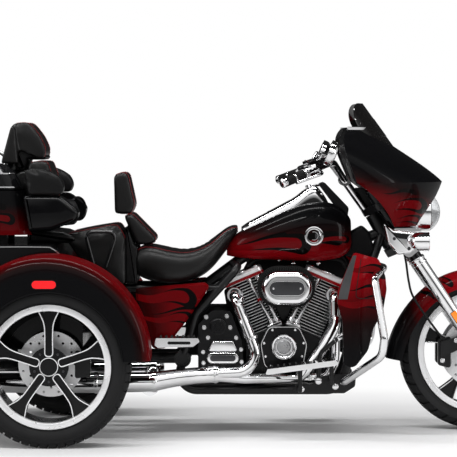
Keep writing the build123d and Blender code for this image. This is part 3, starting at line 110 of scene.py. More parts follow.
class Sketch:
    """A shader node tree being laid out."""

    def __init__(self, tree: NodeTree) -> None:
        """Starts on a tree.

        Args:
            tree: a material's tree or a shader group.
        """
        self.tree = tree

    def node(self, kind: str, **values: object) -> Node:
        """Adds a node and sets its properties or input defaults.

        Args:
            kind: the node type without its "ShaderNode" prefix.
            values: attributes, or inputs named with underscores for spaces.

        Returns:
            The new node.
        """
        made = self.tree.nodes.new("ShaderNode" + kind)
        for key, value in values.items():
            if hasattr(made, key):
                setattr(made, key, value)
            else:
                made.inputs[key.replace("_", " ")].default_value = value
        return made

    def feed(self, value: object, socket: NodeSocket) -> None:
        """Links a socket to an input, or sets the input to a number or colour."""
        if isinstance(value, NodeSocket):
            self.tree.links.new(value, socket)
        elif isinstance(value, tuple) and socket.type == "RGBA":
            socket.default_value = (*value[:3], 1.0)
        else:
            socket.default_value = value

    def math(self, operation: str, *terms: object, clamp: bool = False) -> NodeSocket:
        """A Math node fed by sockets or numbers.

        Args:
            operation: Blender's name for it.
            terms: the values, in order.
            clamp: keep the result from 0 to 1.

        Returns:
            Its result.
        """
        made = self.node("Math", operation=operation, use_clamp=clamp)
        for index, value in enumerate(terms):
            self.feed(value, made.inputs[index])
        return made.outputs[0]

    def remap(self, value: object, low: float, high: float, a: float = 0.0, b: float = 1.0) -> NodeSocket:
        """Maps a value from low..high to a..b, smoothly and held at the ends."""
        made = self.node("MapRange", interpolation_type="SMOOTHSTEP")
        for name, term in (
            ("Value", value), ("From Min", low), ("From Max", high), ("To Min", a), ("To Max", b),
        ):
            self.feed(term, made.inputs[name])
        return made.outputs[0]

    def axes(self, vector: NodeSocket) -> tuple[NodeSocket, ...]:
        """A vector's three parts."""
        made = self.node("SeparateXYZ")
        self.feed(vector, made.inputs[0])
        return tuple(made.outputs)

    def noise(self, vector: NodeSocket, scale: float, detail: float = 2.0) -> NodeSocket:
        """A noise value on the given coordinates."""
        made = self.node("TexNoise", Scale=scale, Detail=detail)
        self.feed(vector, made.inputs["Vector"])
        return made.outputs["Fac"]

    def cells(self, vector: NodeSocket, scale: float) -> NodeSocket:
        """Distance to the nearest cell centre of a cell pattern."""
        made = self.node("TexVoronoi", Scale=scale)
        self.feed(vector, made.inputs["Vector"])
        return made.outputs["Distance"]

    def ramp(self, value: NodeSocket, stops: Sequence[tuple[float, Colour]]) -> NodeSocket:
        """A colour that changes with a value through the given stops."""
        made = self.node("ValToRGB")
        band = made.color_ramp
        band.elements.remove(band.elements[-1])
        for index, (place, colour) in enumerate(stops):
            stop = band.elements[0] if index == 0 else band.elements.new(place)
            stop.position = place
            stop.color = (*colour, 1.0)
        self.feed(value, made.inputs[0])
        return made.outputs[0]

    def mix(self, factor: object, a: object, b: object) -> NodeSocket:
        """Mixes two colours, each a colour or a socket."""
        made = self.node("Mix", data_type="RGBA")
        self.feed(factor, made.inputs[0])
        self.feed(a, made.inputs[6])
        self.feed(b, made.inputs[7])
        return made.outputs[2]


class Shader(Sketch):
    """A material with one Principled shader."""

    def __init__(self, name: str, **values: object) -> None:
        """Starts the material.

        Args:
            name: the material's name.
            values: Principled sockets, named with underscores for spaces.
        """
        self.material = bpy.data.materials.new(name)
        self.material.use_nodes = True
        super().__init__(self.material.node_tree)
        self.tree.nodes.clear()
        self.out = self.node("OutputMaterial")
        self.bsdf = self.node("BsdfPrincipled")
        self.feed(self.bsdf.outputs[0], self.out.inputs["Surface"])
        self.where = self.node("TexCoord").outputs["Object"]
        self.set(**values)

    def set(self, **values: object) -> None:
        """Feeds the Principled shader's sockets with values or links."""
        for key, value in values.items():
            self.feed(value, self.bsdf.inputs[key.replace("_", " ")])

    def bump(self, height: NodeSocket, strength: float, distance: float) -> None:
        """Feeds a height in metres to the shader's normal."""
        made = self.node("Bump", Strength=strength, Distance=distance)
        self.feed(height, made.inputs["Height"])
        self.feed(made.outputs[0], self.bsdf.inputs["Normal"])


# Finishes


@dataclass(frozen=True)
class MetalFinish:
    """Bare or plated metal with faint smears and a fine grain."""

    name: str
    colour: Colour
    rough: float
    smear: float = 0.03
    grain: float = 0.0
    metallic: float = 1.0

    def make(self) -> Material:
        """Builds the material."""
        s = Shader(self.name, Metallic=self.metallic)
        cloud = s.noise(s.where, 9.0, 3.0)
        dull = tuple(0.86 * c for c in self.colour)
        s.set(Base_Color=s.ramp(cloud, ((0.3, dull), (0.6, self.colour))))
        s.set(Roughness=s.remap(cloud, 0.3, 0.7, max(self.rough - self.smear, 0.02), self.rough + self.smear))
        if self.grain:
            s.bump(s.noise(s.where, 700.0), self.grain, 0.0004)
        return s.material


@dataclass(frozen=True)
class TurnedFinish:
    """Metal turned on a lathe: fine rings about an axis across the machine."""

    name: str
    colour: Colour
    centre: Flat
    rough: float = 0.24
    pitch: float = 1.6

    def make(self) -> Material:
        """Builds the material; the rings lie about centre, (x, z) in millimetres."""
        s = Shader(self.name, Metallic=1.0)
        x, _, z = s.axes(s.where)
        across = s.math("SUBTRACT", x, self.centre[0] * MM)
        up = s.math("SUBTRACT", z, self.centre[1] * MM)
        far = s.math("SQRT", s.math("MULTIPLY_ADD", across, across, s.math("MULTIPLY", up, up)))
        wave = s.math("SINE", s.math("MULTIPLY", far, 2 * pi / (self.pitch * MM)))
        cloud = s.noise(s.where, 25.0, 3.0)
        dull = tuple(0.8 * c for c in self.colour)
        s.set(Base_Color=s.ramp(cloud, ((0.3, dull), (0.65, self.colour))))
        s.set(Roughness=s.remap(cloud, 0.3, 0.7, self.rough - 0.05, self.rough + 0.06))
        s.bump(wave, 0.25, 0.0002)
        return s.material


@dataclass(frozen=True)
class CoatFinish:
    """Paint, rubber or moulded plastic: light mottling, a surface texture and an uneven gloss."""

    name: str
    colour: Colour
    rough: float
    coat: float = 0.0
    peel: float = 0.05
    peel_scale: float = 260.0
    vary: float = 0.15
    metallic: float = 0.0
    specular: float = 0.5

    def make(self) -> Material:
        """Builds the material."""
        s = Shader(self.name, Metallic=self.metallic, Specular_IOR_Level=self.specular)
        s.set(Coat_Weight=self.coat, Coat_Roughness=0.03)
        cloud = s.noise(s.where, 14.0, 4.0)
        low = tuple(c * (1 - self.vary) for c in self.colour)
        high = tuple(c * (1 + self.vary) for c in self.colour)
        s.set(Base_Color=s.ramp(cloud, ((0.3, low), (0.7, high))))
        s.set(Roughness=s.remap(cloud, 0.3, 0.7, self.rough * 0.85, self.rough * 1.15))
        s.bump(s.noise(s.where, self.peel_scale), self.peel, 0.0006)
        return s.material


@dataclass(frozen=True)
class GrilleFinish:
    """Black mesh with a grid of round holes."""

    name: str
    colour: Colour
    pitch: float = 4.0

    def make(self) -> Material:
        """Builds the material."""
        s = Shader(self.name, Roughness=0.45, Specular_IOR_Level=0.3)
        _, y, z = s.axes(s.where)
        count = 2 * pi / (self.pitch * MM)
        waves = [s.math("SINE", s.math("MULTIPLY", part, count)) for part in (y, z)]
        dots = s.math("MULTIPLY", *waves)
        s.set(Base_Color=s.mix(s.remap(dots, 0.1, 0.4), self.colour, (0.001, 0.001, 0.001)))
        s.bump(dots, 0.6, 0.001)
        return s.material


@dataclass(frozen=True)
class Lick:
    """One flame lick: a dark teardrop that trails rearwards, with a heart of a second colour.

    Attributes:
        head: (x, z) of the round front end's centre.
        radius: of that end.
        length: from the head back to the tip.
        rise: how far the tip is above the head.
        wave: how far the middle swings up and down.
        heart: size of the heart as a share of the lick, or 0 for none.
    """

    head: Flat
    radius: float
    length: float
    rise: float = 0.0
    wave: float = 0.0
    heart: float = 0.0


class LickGroup:
    """The shader group that turns one lick's sizes into a mask of it and one of its heart."""

    INPUTS = ("Head X", "Head Z", "Radius", "Length", "Rise", "Wave", "Heart")
    HEART_TAPER = 0.5
    EDGE = 1.2 * MM

    def __init__(self) -> None:
        """Lays the group out once."""
        self.tree = bpy.data.node_groups.new("flame_lick", "ShaderNodeTree")
        face = self.tree.interface
        face.new_socket("Position", in_out="INPUT", socket_type="NodeSocketVector")
        for name in self.INPUTS:
            face.new_socket(name, in_out="INPUT", socket_type="NodeSocketFloat")
        for name in ("Lick", "Core"):
            face.new_socket(name, in_out="OUTPUT", socket_type="NodeSocketFloat")
        g = Sketch(self.tree)
        start = self.tree.nodes.new("NodeGroupInput")
        end = self.tree.nodes.new("NodeGroupOutput")
        head_x, head_z, radius, length, rise, wave, heart = (start.outputs[name] for name in self.INPUTS)
        x, _, z = g.axes(start.outputs["Position"])
        along = g.math("DIVIDE", g.math("SUBTRACT", head_x, x), length)
        swing = g.math("MULTIPLY", wave, g.math("SINE", g.math("MULTIPLY", along, 2 * pi)))
        line = g.math("ADD", g.math("MULTIPLY_ADD", rise, along, head_z), swing)
        off = g.math("ABSOLUTE", g.math("SUBTRACT", z, line))
        outer = self.width(g, along, length, radius, 1.0)
        core = g.math("MULTIPLY", radius, heart)
        back = g.math("SUBTRACT", along, g.math("DIVIDE", g.math("MULTIPLY", radius, 0.4), length))
        inner = self.width(g, back, length, g.math("MAXIMUM", core, 1e-5), self.HEART_TAPER)
        g.feed(g.remap(g.math("SUBTRACT", outer, off), 0.0, self.EDGE), end.inputs["Lick"])
        g.feed(g.remap(g.math("SUBTRACT", inner, off), 0.0, self.EDGE), end.inputs["Core"])

    def width(
        self, g: Sketch, along: NodeSocket, length: object, radius: object, taper: float
    ) -> NodeSocket:
        """Half width of a teardrop at a place along it.

        Args:
            g: the group's tree.
            along: 0 at the head's centre, 1 at the tip, negative ahead of the head.
            length: from head to tip.
            radius: of the round end.
            taper: share of the radius lost by the tip.

        Returns:
            The half width, zero or less outside the ends.
        """
        ahead = g.math("DIVIDE", g.math("MULTIPLY", g.math("MINIMUM", along, 0.0), length), radius)
        square = g.math("MULTIPLY_ADD", ahead, g.math("MULTIPLY", ahead, -1.0), 1.0)
        nose = g.math("SQRT", g.math("MAXIMUM", square, 0.0))
        behind = g.math("MULTIPLY_ADD", g.math("MAXIMUM", along, 0.0), -taper, 1.0)
        return g.math("MULTIPLY", g.math("MULTIPLY", radius, nose), behind)

    def paint(self, s: Shader, licks: Iterable[Lick], ground: object, dark: Colour, core: Colour) -> object:
        """Lays licks on a ground colour.

        Args:
            s: the paint being built.
            licks: the licks, each over those before it.
            ground: the colour under them.
            dark: the licks' colour.
            core: the colour of their hearts.

        Returns:
            The painted colour.
        """
        for lick in licks:
            made = s.tree.nodes.new("ShaderNodeGroup")
            made.node_tree = self.tree
            s.feed(s.where, made.inputs["Position"])
            sizes = (*lick.head, lick.radius, lick.length, lick.rise, lick.wave)
            for name, size in zip(self.INPUTS, sizes):
                made.inputs[name].default_value = size * MM
            made.inputs["Heart"].default_value = lick.heart
            ground = s.mix(made.outputs["Lick"], ground, dark)
            if lick.heart:
                ground = s.mix(made.outputs["Core"], ground, core)
        return ground


@dataclass(frozen=True)
class FlamePaint:
    """Candy red that fades to black, with dark flame licks, under clear lacquer.

    Attributes:
        name: the material's name.
        slope: direction (x, z) along which the ground runs from dark to bright.
        stops: places along it in millimetres, each with the ground colour there.
        licks: the flames.
        arch: centre and half sizes (x, z, half x, half z) of an ellipse; where given, the ground runs
            with the share of that ellipse instead.
        lick_colour: the flames' colour.
        core: the colour of their hearts.
    """

    name: str
    slope: Flat
    stops: tuple[tuple[float, Colour], ...]
    licks: tuple[Lick, ...] = ()
    arch: tuple[float, float, float, float] | None = None
    lick_colour: Colour = (0.0025, 0.002, 0.002)
    core: Colour = (0.12, 0.0014, 0.0028)

    def make(self, group: LickGroup) -> Material:
        """Builds the material."""
        s = Shader(self.name, Roughness=0.3, Specular_IOR_Level=0.015, Coat_Weight=0.11, Coat_Roughness=0.02)
        low, high = self.stops[0][0], self.stops[-1][0]
        share = [((place - low) / (high - low), colour) for place, colour in self.stops]
        ground = s.ramp(s.remap(self.run(s), low, high), share)
        s.set(Base_Color=group.paint(s, self.licks, ground, self.lick_colour, self.core))
        s.bump(s.cells(s.where, 2600.0), 0.02, 0.0002)
        return s.material

    def run(self, s: Shader) -> NodeSocket:
        """The value that the ground colour follows."""
        x, _, z = s.axes(s.where)
        if self.arch is None:
            run = s.math("MULTIPLY_ADD", x, self.slope[0] / MM, s.math("MULTIPLY", z, self.slope[1] / MM))
            return s.math("MULTIPLY_ADD", s.noise(s.where, 4.0), 16.0, run)
        centre_x, centre_z, half_x, half_z = self.arch
        u = s.math("DIVIDE", s.math("SUBTRACT", x, centre_x * MM), half_x * MM)
        v = s.math("DIVIDE", s.math("SUBTRACT", z, centre_z * MM), half_z * MM)
        return s.math("SQRT", s.math("MULTIPLY_ADD", u, u, s.math("MULTIPLY", v, v)))


@dataclass(frozen=True)
class HideFinish:
    """Upholstery leather: pebbled grain, creases and a soft sheen."""

    name: str
    colour: Colour
    rough: float = 0.36
    specular: float = 0.26

    def make(self) -> Material:
        """Builds the material."""
        s = Shader(self.name, Specular_IOR_Level=self.specular)
        pebble = s.cells(s.where, 420.0)
        crease = s.noise(s.where, 60.0, 5.0)
        cloud = s.noise(s.where, 6.0, 3.0)
        s.set(Base_Color=s.ramp(cloud, ((0.3, tuple(0.7 * c for c in self.colour)), (0.7, self.colour))))
        s.set(Roughness=s.remap(pebble, 0.0, 0.6, self.rough + 0.12, self.rough - 0.06))
        s.bump(s.math("MULTIPLY_ADD", crease, 0.8, pebble), 0.3, 0.001)
        return s.material


@dataclass(frozen=True)
class LensFinish:
    """Clear or tinted glass and lamp covers, faintly hazed; glow is a painted glow, emission that stands in
    for light the lenses catch.
    """

    name: str
    colour: Colour
    rough: float = 0.02
    clear: float = 1.0
    glow: float = 0.0
    flutes: float = 0.0

    def make(self) -> Material:
        """Builds the material; flutes is the spacing of moulded ribs, or 0 for none."""
        s = Shader(self.name, Base_Color=self.colour, Transmission_Weight=self.clear, IOR=1.46)
        # glow feeds the emission: painted light, not a lit lamp.
        s.set(Coat_Weight=0.5, Coat_Roughness=0.02, Emission_Color=self.colour, Emission_Strength=self.glow)
        s.set(Roughness=s.remap(s.noise(s.where, 30.0, 3.0), 0.3, 0.7, self.rough, self.rough + 0.03))
        if self.flutes:
            x, y, _ = s.axes(s.where)
            rib = s.math("SINE", s.math("MULTIPLY", s.math("ADD", x, y), 2 * pi / (self.flutes * MM)))
            s.bump(rib, 0.3, 0.0005)
        return s.material


class Finishes:
    """Every finish on the trike, made once and shared."""

    BLACK: Colour = (0.0035, 0.0035, 0.004)
    BROWN: Colour = (0.009, 0.0022, 0.0022)
    DEEP: Colour = (0.042, 0.001, 0.0014)
    RED: Colour = (0.12, 0.0014, 0.0028)
    BRIGHT: Colour = (0.23, 0.002, 0.005)

    def __init__(self) -> None:
        """Makes all the materials."""
        self.metals()
        self.coats()
        self.lenses()
        self.paints()

    def metals(self) -> None:
        """Plated, ground and machined metals."""
        self.chrome = MetalFinish("chrome_plate", (0.88, 0.88, 0.89), 0.05).make()
        self.steel = MetalFinish(
            "ground_steel", (0.72, 0.72, 0.73), 0.32, smear=0.06, grain=0.2, metallic=0.6,
        ).make()
        self.machined = MetalFinish(
            "machined_alloy", (0.93, 0.93, 0.94), 0.3, smear=0.05, grain=0.08, metallic=0.6,
        ).make()
        self.dark_metal = MetalFinish("dark_metal", (0.075, 0.075, 0.08), 0.34, smear=0.06, grain=0.1).make()
        self.grey_metal = MetalFinish("cast_grey_alloy", (0.3, 0.3, 0.31), 0.38, smear=0.06, grain=0.3).make()
        self.mirror = MetalFinish("mirror_glass", (0.9, 0.91, 0.92), 0.03, smear=0.005).make()
        self.grille = GrilleFinish("speaker_grille", (0.012, 0.012, 0.013)).make()

    def coats(self) -> None:
        """Plain paints, rubber, plastic and hide."""
        self.gloss = CoatFinish(
            "gloss_black_paint", self.BLACK, 0.16, coat=0.22, peel=0.01, specular=0.1,
        ).make()
        self.satin = CoatFinish(
            "satin_black_paint", (0.006, 0.006, 0.0065), 0.34, peel=0.06, specular=0.3,
        ).make()
        self.rail = CoatFinish(
            "rail_black_enamel", (0.006, 0.006, 0.0065), 0.2, coat=0.6, peel=0.02, specular=0.5,
        ).make()
        self.engine = CoatFinish(
            "engine_black_paint", (0.004, 0.004, 0.0045), 0.3, coat=0.1, peel=0.12, peel_scale=420.0,
            specular=0.15,
        ).make()
        self.wheel = CoatFinish(
            "wheel_black_paint", self.BLACK, 0.15, coat=0.25, peel=0.01, specular=0.1,
        ).make()
        self.plastic = CoatFinish(
            "moulded_black_plastic", (0.005, 0.005, 0.0055), 0.46, peel=0.3, peel_scale=900.0,
            specular=0.12,
        ).make()
        self.grey_plastic = CoatFinish(
            "moulded_grey_plastic", (0.05, 0.05, 0.052), 0.4, peel=0.2, peel_scale=700.0, specular=0.3,
        ).make()
        self.rubber = CoatFinish(
            "black_rubber", (0.007, 0.007, 0.007), 0.7, peel=0.25, peel_scale=600.0, specular=0.2,
        ).make()
        self.tyre = CoatFinish(
            "tyre_rubber", (0.0075, 0.0075, 0.008), 0.6, peel=0.25, peel_scale=500.0, specular=0.22,
        ).make()
        self.hide = HideFinish("black_leather", (0.005, 0.0048, 0.0048)).make()
        self.vinyl = HideFinish("grained_vinyl", (0.005, 0.005, 0.0052), 0.4, specular=0.16).make()
        self.thread = CoatFinish("red_thread", (0.3, 0.008, 0.012), 0.6, peel=0.3, peel_scale=1500.0).make()
        self.red = CoatFinish("bright_red_enamel", self.BRIGHT, 0.2, coat=0.3, peel=0.01, specular=0.2).make()

    def lenses(self) -> None:
        """Glass and lamp covers."""
        self.smoke = CoatFinish(
            "smoked_screen", (0.006, 0.0055, 0.0055), 0.08, coat=0.6, peel=0.005, specular=0.3,
        ).make()
        self.clear = LensFinish("clear_lens", (0.95, 0.96, 0.97), 0.01).make()
        # Painted glow on the red lenses.
        self.red_lens = LensFinish(
            "red_lens", (0.85, 0.008, 0.012), 0.08, clear=0.15, glow=0.42, flutes=7.0,
        ).make()
        # Painted glow on the amber fork reflectors, which are no lamp.
        self.amber = LensFinish(
            "amber_lens", (0.95, 0.25, 0.02), 0.1, clear=0.15, glow=0.35, flutes=5.0,
        ).make()

    def paints(self) -> None:
        """Candy paints with their flames."""
        group = LickGroup()
        black, brown, deep, red, bright = self.BLACK, self.BROWN, self.DEEP, self.RED, self.BRIGHT
        tank_licks = (
            Lick((408, 790), 30, 330, -14, 8, 0.0),
            Lick((446, 786), 17, 190, -4, 5, 0.6),
            Lick((262, 768), 44, 350, -10, 8, 0.52),
            Lick((196, 806), 11, 210, -46, 4, 0.0),
        )
        tank_ground = ((705, bright), (752, red), (800, deep), (838, brown), (890, black))
        self.tank = FlamePaint("tank_paint", (0.0, 1.0), tank_ground, tank_licks).make(group)
        fairing_licks = (
            Lick((746, 922), 34, 200, 6, 7, 0.56),
            Lick((742, 862), 22, 150, 8, 6, 0.5),
            Lick((716, 978), 11, 150, 6, 8, 0.0),
        )
        fairing_ground = ((1080, red), (1120, deep), (1152, brown), (1190, black))
        self.fairing = FlamePaint("fairing_paint", (0.283, 0.96), fairing_ground, fairing_licks).make(group)
        lower_licks = (
            Lick((574, 536), 34, 150, 4, 7, 0.58),
            Lick((582, 660), 28, 150, 26, 8, 0.5),
            Lick((560, 604), 9, 130, -10, 6, 0.0),
        )
        lower_ground = ((330, black), (450, brown), (540, deep), (610, red), (690, bright))
        self.lowers = FlamePaint("leg_shield_paint", (0.0, 1.0), lower_ground, lower_licks).make(group)
        side_licks = (
            Lick((-196, 552), 40, 200, 4, 8, 0.62),
            Lick((-196, 470), 28, 150, -4, 6, 0.6),
            Lick((-168, 512), 9, 190, -26, 5, 0.0),
        )
        side_ground = ((-420, brown), (-340, deep), (-240, red), (-120, red))
        self.sides = FlamePaint("side_cover_paint", (1.0, 0.0), side_ground, side_licks).make(group)
        front_ground = ((770, black), (850, brown), (890, deep), (960, red), (1060, bright))
        front_licks = (Lick((872, 606), 17, 110, 30, 4, 0.5), Lick((812, 548), 13, 90, 34, 4, 0.0))
        self.front_fender = FlamePaint(
            "front_fender_paint", (1.0, 0.3), front_ground, front_licks,
        ).make(group)
        arch = (-731.0, 339.0, 401.0, 405.0)
        rear_ground = ((0.82, black), (0.91, brown), (0.975, deep), (1.03, red))
        self.rear_fender = FlamePaint("rear_fender_paint", (0.0, 1.0), rear_ground, (), arch).make(group)
        box_licks = (
            Lick((-905, 872), 24, 230, -10, 8, 0.55),
            Lick((-930, 922), 14, 200, -8, 7, 0.0),
            Lick((-960, 842), 11, 170, -4, 5, 0.0),
        )
        box_ground = ((822, red), (880, deep), (940, black))
        self.box = FlamePaint("box_paint", (0.0, 1.0), box_ground, box_licks).make(group)

    def on_nodes(self) -> dict[Material, tuple[str, ...]]:
        """The finish of each carried-over solid."""
        return {
            self.satin: (
                "frame", "rear_axle", "box_carrier", "foot_controls", "triple_clamps", "front_axle",
            ),
            self.engine: ("crankcase", "gearbox", "cylinders", "cam_cover", "primary_cover"),
            self.chrome: (
                "pushrod_tubes", "air_cleaner", "exhaust", "tank_console", "engine_guard", "luggage_rack",
                "fork_sliders", "headlamps", "fork_nacelle", "handlebar", "hand_controls", "mirrors",
                "footboards",
            ),
            self.rail: ("grab_rails",), self.gloss: ("trunk", "trunk_door", "top_box_lid", "fork_tubes"),
            self.hide: ("rider_seat", "pillion_seat", "rider_backrest", "passenger_backrest", "headrest"),
            self.vinyl: ("armrests",), self.plastic: ("dash_apron", "inner_fairing"),
            self.rubber: ("grips",), self.tyre: ("front_tyre", "rear_tyre_right", "rear_tyre_left"),
            self.wheel: ("front_rim", "rear_rim_right", "rear_rim_left"),
            self.machined: ("rocker_covers", "rear_disc_right", "rear_disc_left"),
            self.steel: ("front_discs",), self.red: ("rocker_bases",), self.red_lens: ("red_lamps",),
            self.smoke: ("windshield",), self.tank: ("fuel_tank",), self.fairing: ("fairing",),
            self.lowers: ("lower_fairings",), self.sides: ("side_covers",),
            self.front_fender: ("front_fender",), self.rear_fender: ("rear_fenders",),
            self.box: ("top_box",),
        }

    def dress_nodes(self) -> None:
        """Gives each solid its finish."""
        for material, names in self.on_nodes().items():
            for name in names:
                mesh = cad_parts[name].data
                mesh.materials.clear()
                mesh.materials.append(material)


# Shaping


def arc_corners(points: Sequence[Flat], radii: float | Sequence[float], steps: int = 5) -> list[Flat]:
    """A closed outline with its corners rounded.

    Args:
        points: the corners in order.
        radii: one radius, or one for each corner.
        steps: spans in each rounded corner.

    Returns:
        The outline's points.
    """
    count = len(points)
    sizes = [radii] * count if isinstance(radii, (int, float)) else list(radii)
    made: list[Flat] = []
    for i, (corner, radius) in enumerate(zip(points, sizes)):
        here = Vector(corner)
        back = (Vector(points[i - 1]) - here).normalized()
        ahead = (Vector(points[(i + 1) % count]) - here).normalized()
        if radius <= 0 or abs(back.dot(ahead)) > 0.999:
            made.append(tuple(here))
            continue
        half = back.angle(ahead) / 2
        reach = radius / tan(half)
        centre = here + (back + ahead).normalized() * (radius / sin(half))
        start, stop = here + back * reach - centre, here + ahead * reach - centre
        sweep = start.angle_signed(stop)
        for k in range(steps + 1):
            turned = start.copy()
            turned.rotate(Matrix.Rotation(-sweep * k / steps, 2))
            made.append(tuple(centre + turned))
    return made


def stadium(half_length: float, half_height: float, centre: Flat = (0.0, 0.0), steps: int = 12) -> list[Flat]:
    """A bar outline with round ends."""
    straight = half_length - half_height
    made = []
    for end, start in ((1, -pi / 2), (-1, pi / 2)):
        for k in range(steps + 1):
            turn = start + pi * k / steps
            made.append((
                centre[0] + end * straight + half_height * cos(turn), centre[1] + half_height * sin(turn)
            ))
    return made


def oval(half_u: float, half_v: float, steps: int = 40) -> list[Flat]:
    """An ellipse outline."""
    return [(half_u * cos(2 * pi * k / steps), half_v * sin(2 * pi * k / steps)) for k in range(steps)]


def around(centre: Flat, radius: float, first: float, step: float, count: int) -> list[Flat]:
    """Points on a circle, from a first angle by a step, both in degrees."""
    turns = (radians(first + step * i) for i in range(count))
    return [(centre[0] + radius * cos(t), centre[1] + radius * sin(t)) for t in turns]


def slab(half_u: float, half_v: float, radius: float, steps: int = 5) -> list[Flat]:
    """A rectangle outline with rounded corners."""
    corners = [(-half_u, -half_v), (half_u, -half_v), (half_u, half_v), (-half_u, half_v)]
    return arc_corners(corners, radius, steps)


def collar(inner: float, outer: float, low: float, high: float, edge: float) -> list[Flat]:
    """A ring's profile as (radius, distance along), with its outer edges broken."""
    return [
        (inner, low), (outer - 1, low), (outer, low + edge), (outer, high - edge), (outer - 1, high),
        (inner, high),
    ]


def inset(points: Sequence[Flat], distance: float) -> list[Flat]:
    """A closed outline drawn in by a distance; a negative one grows it."""
    count = len(points)
    area = sum(points[i - 1][0] * p[1] - p[0] * points[i - 1][1] for i, p in enumerate(points))
    sign = 1 if area > 0 else -1
    made = []
    for i, here in enumerate(points):
        a = Vector(here) - Vector(points[i - 1])
        b = Vector(points[(i + 1) % count]) - Vector(here)
        normals = [Vector((-d.y, d.x)).normalized() * sign for d in (a, b) if d.length > 1e-6]
        middle = sum(normals, Vector((0.0, 0.0))).normalized()
        stretch = max(middle.dot(normals[0]), 0.4)
        made.append(tuple(Vector(here) + middle * (distance / stretch)))
    return made


def eased(points: Sequence[Sequence[float]], steps: int) -> list[Vector]:
    """A smooth line through points.

    Args:
        points: at least two points.
        steps: spans between neighbours.

    Returns:
        Points along the line.
    """
    knots = [Vector(p) for p in points]
    count = len(knots)
    made = []
    for i in range(count - 1):
        b, c = knots[i], knots[i + 1]
        a = knots[i - 1] if i > 0 else b * 2 - c
        d = knots[i + 2] if i + 2 < count else c * 2 - b
        for t in (k / steps for k in range(steps)):
            bend, twist = 2 * a - 5 * b + 4 * c - d, 3 * b - a - 3 * c + d
            made.append(0.5 * (2 * b + (c - a) * t + bend * t**2 + twist * t**3))
    return [*made, knots[-1]]


@dataclass(frozen=True)
class Plane:
    """A flat place to draw on: along u and v, standing out along w."""

    origin: Point
    u: Point
    v: Point
    w: Point

    def at(self, a: float, b: float, c: float = 0.0) -> Vector:
        """The point at those distances from the origin."""
        return Vector(self.origin) + Vector(self.u) * a + Vector(self.v) * b + Vector(self.w) * c


def both_sides(places: Sequence[Place]) -> list[Place]:
    """Places on the rider's right, then their twins on the left."""
    return [*places, *((Vector((p.x, -p.y, p.z)), -way, size) for p, way, size in places)]


def right_side(y: float, x: float = 0.0, z: float = 0.0) -> Plane:
    """The upright plane that faces the rider's right, y out from the centre plane."""
    return Plane((x, -y, z), (1, 0, 0), (0, 0, 1), TO_RIGHT)


def middle_of(node: str) -> Vector:
    """Centre of a solid's box in millimetres."""
    low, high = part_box(node)
    return (Vector(low) + Vector(high)) / 2 / MM


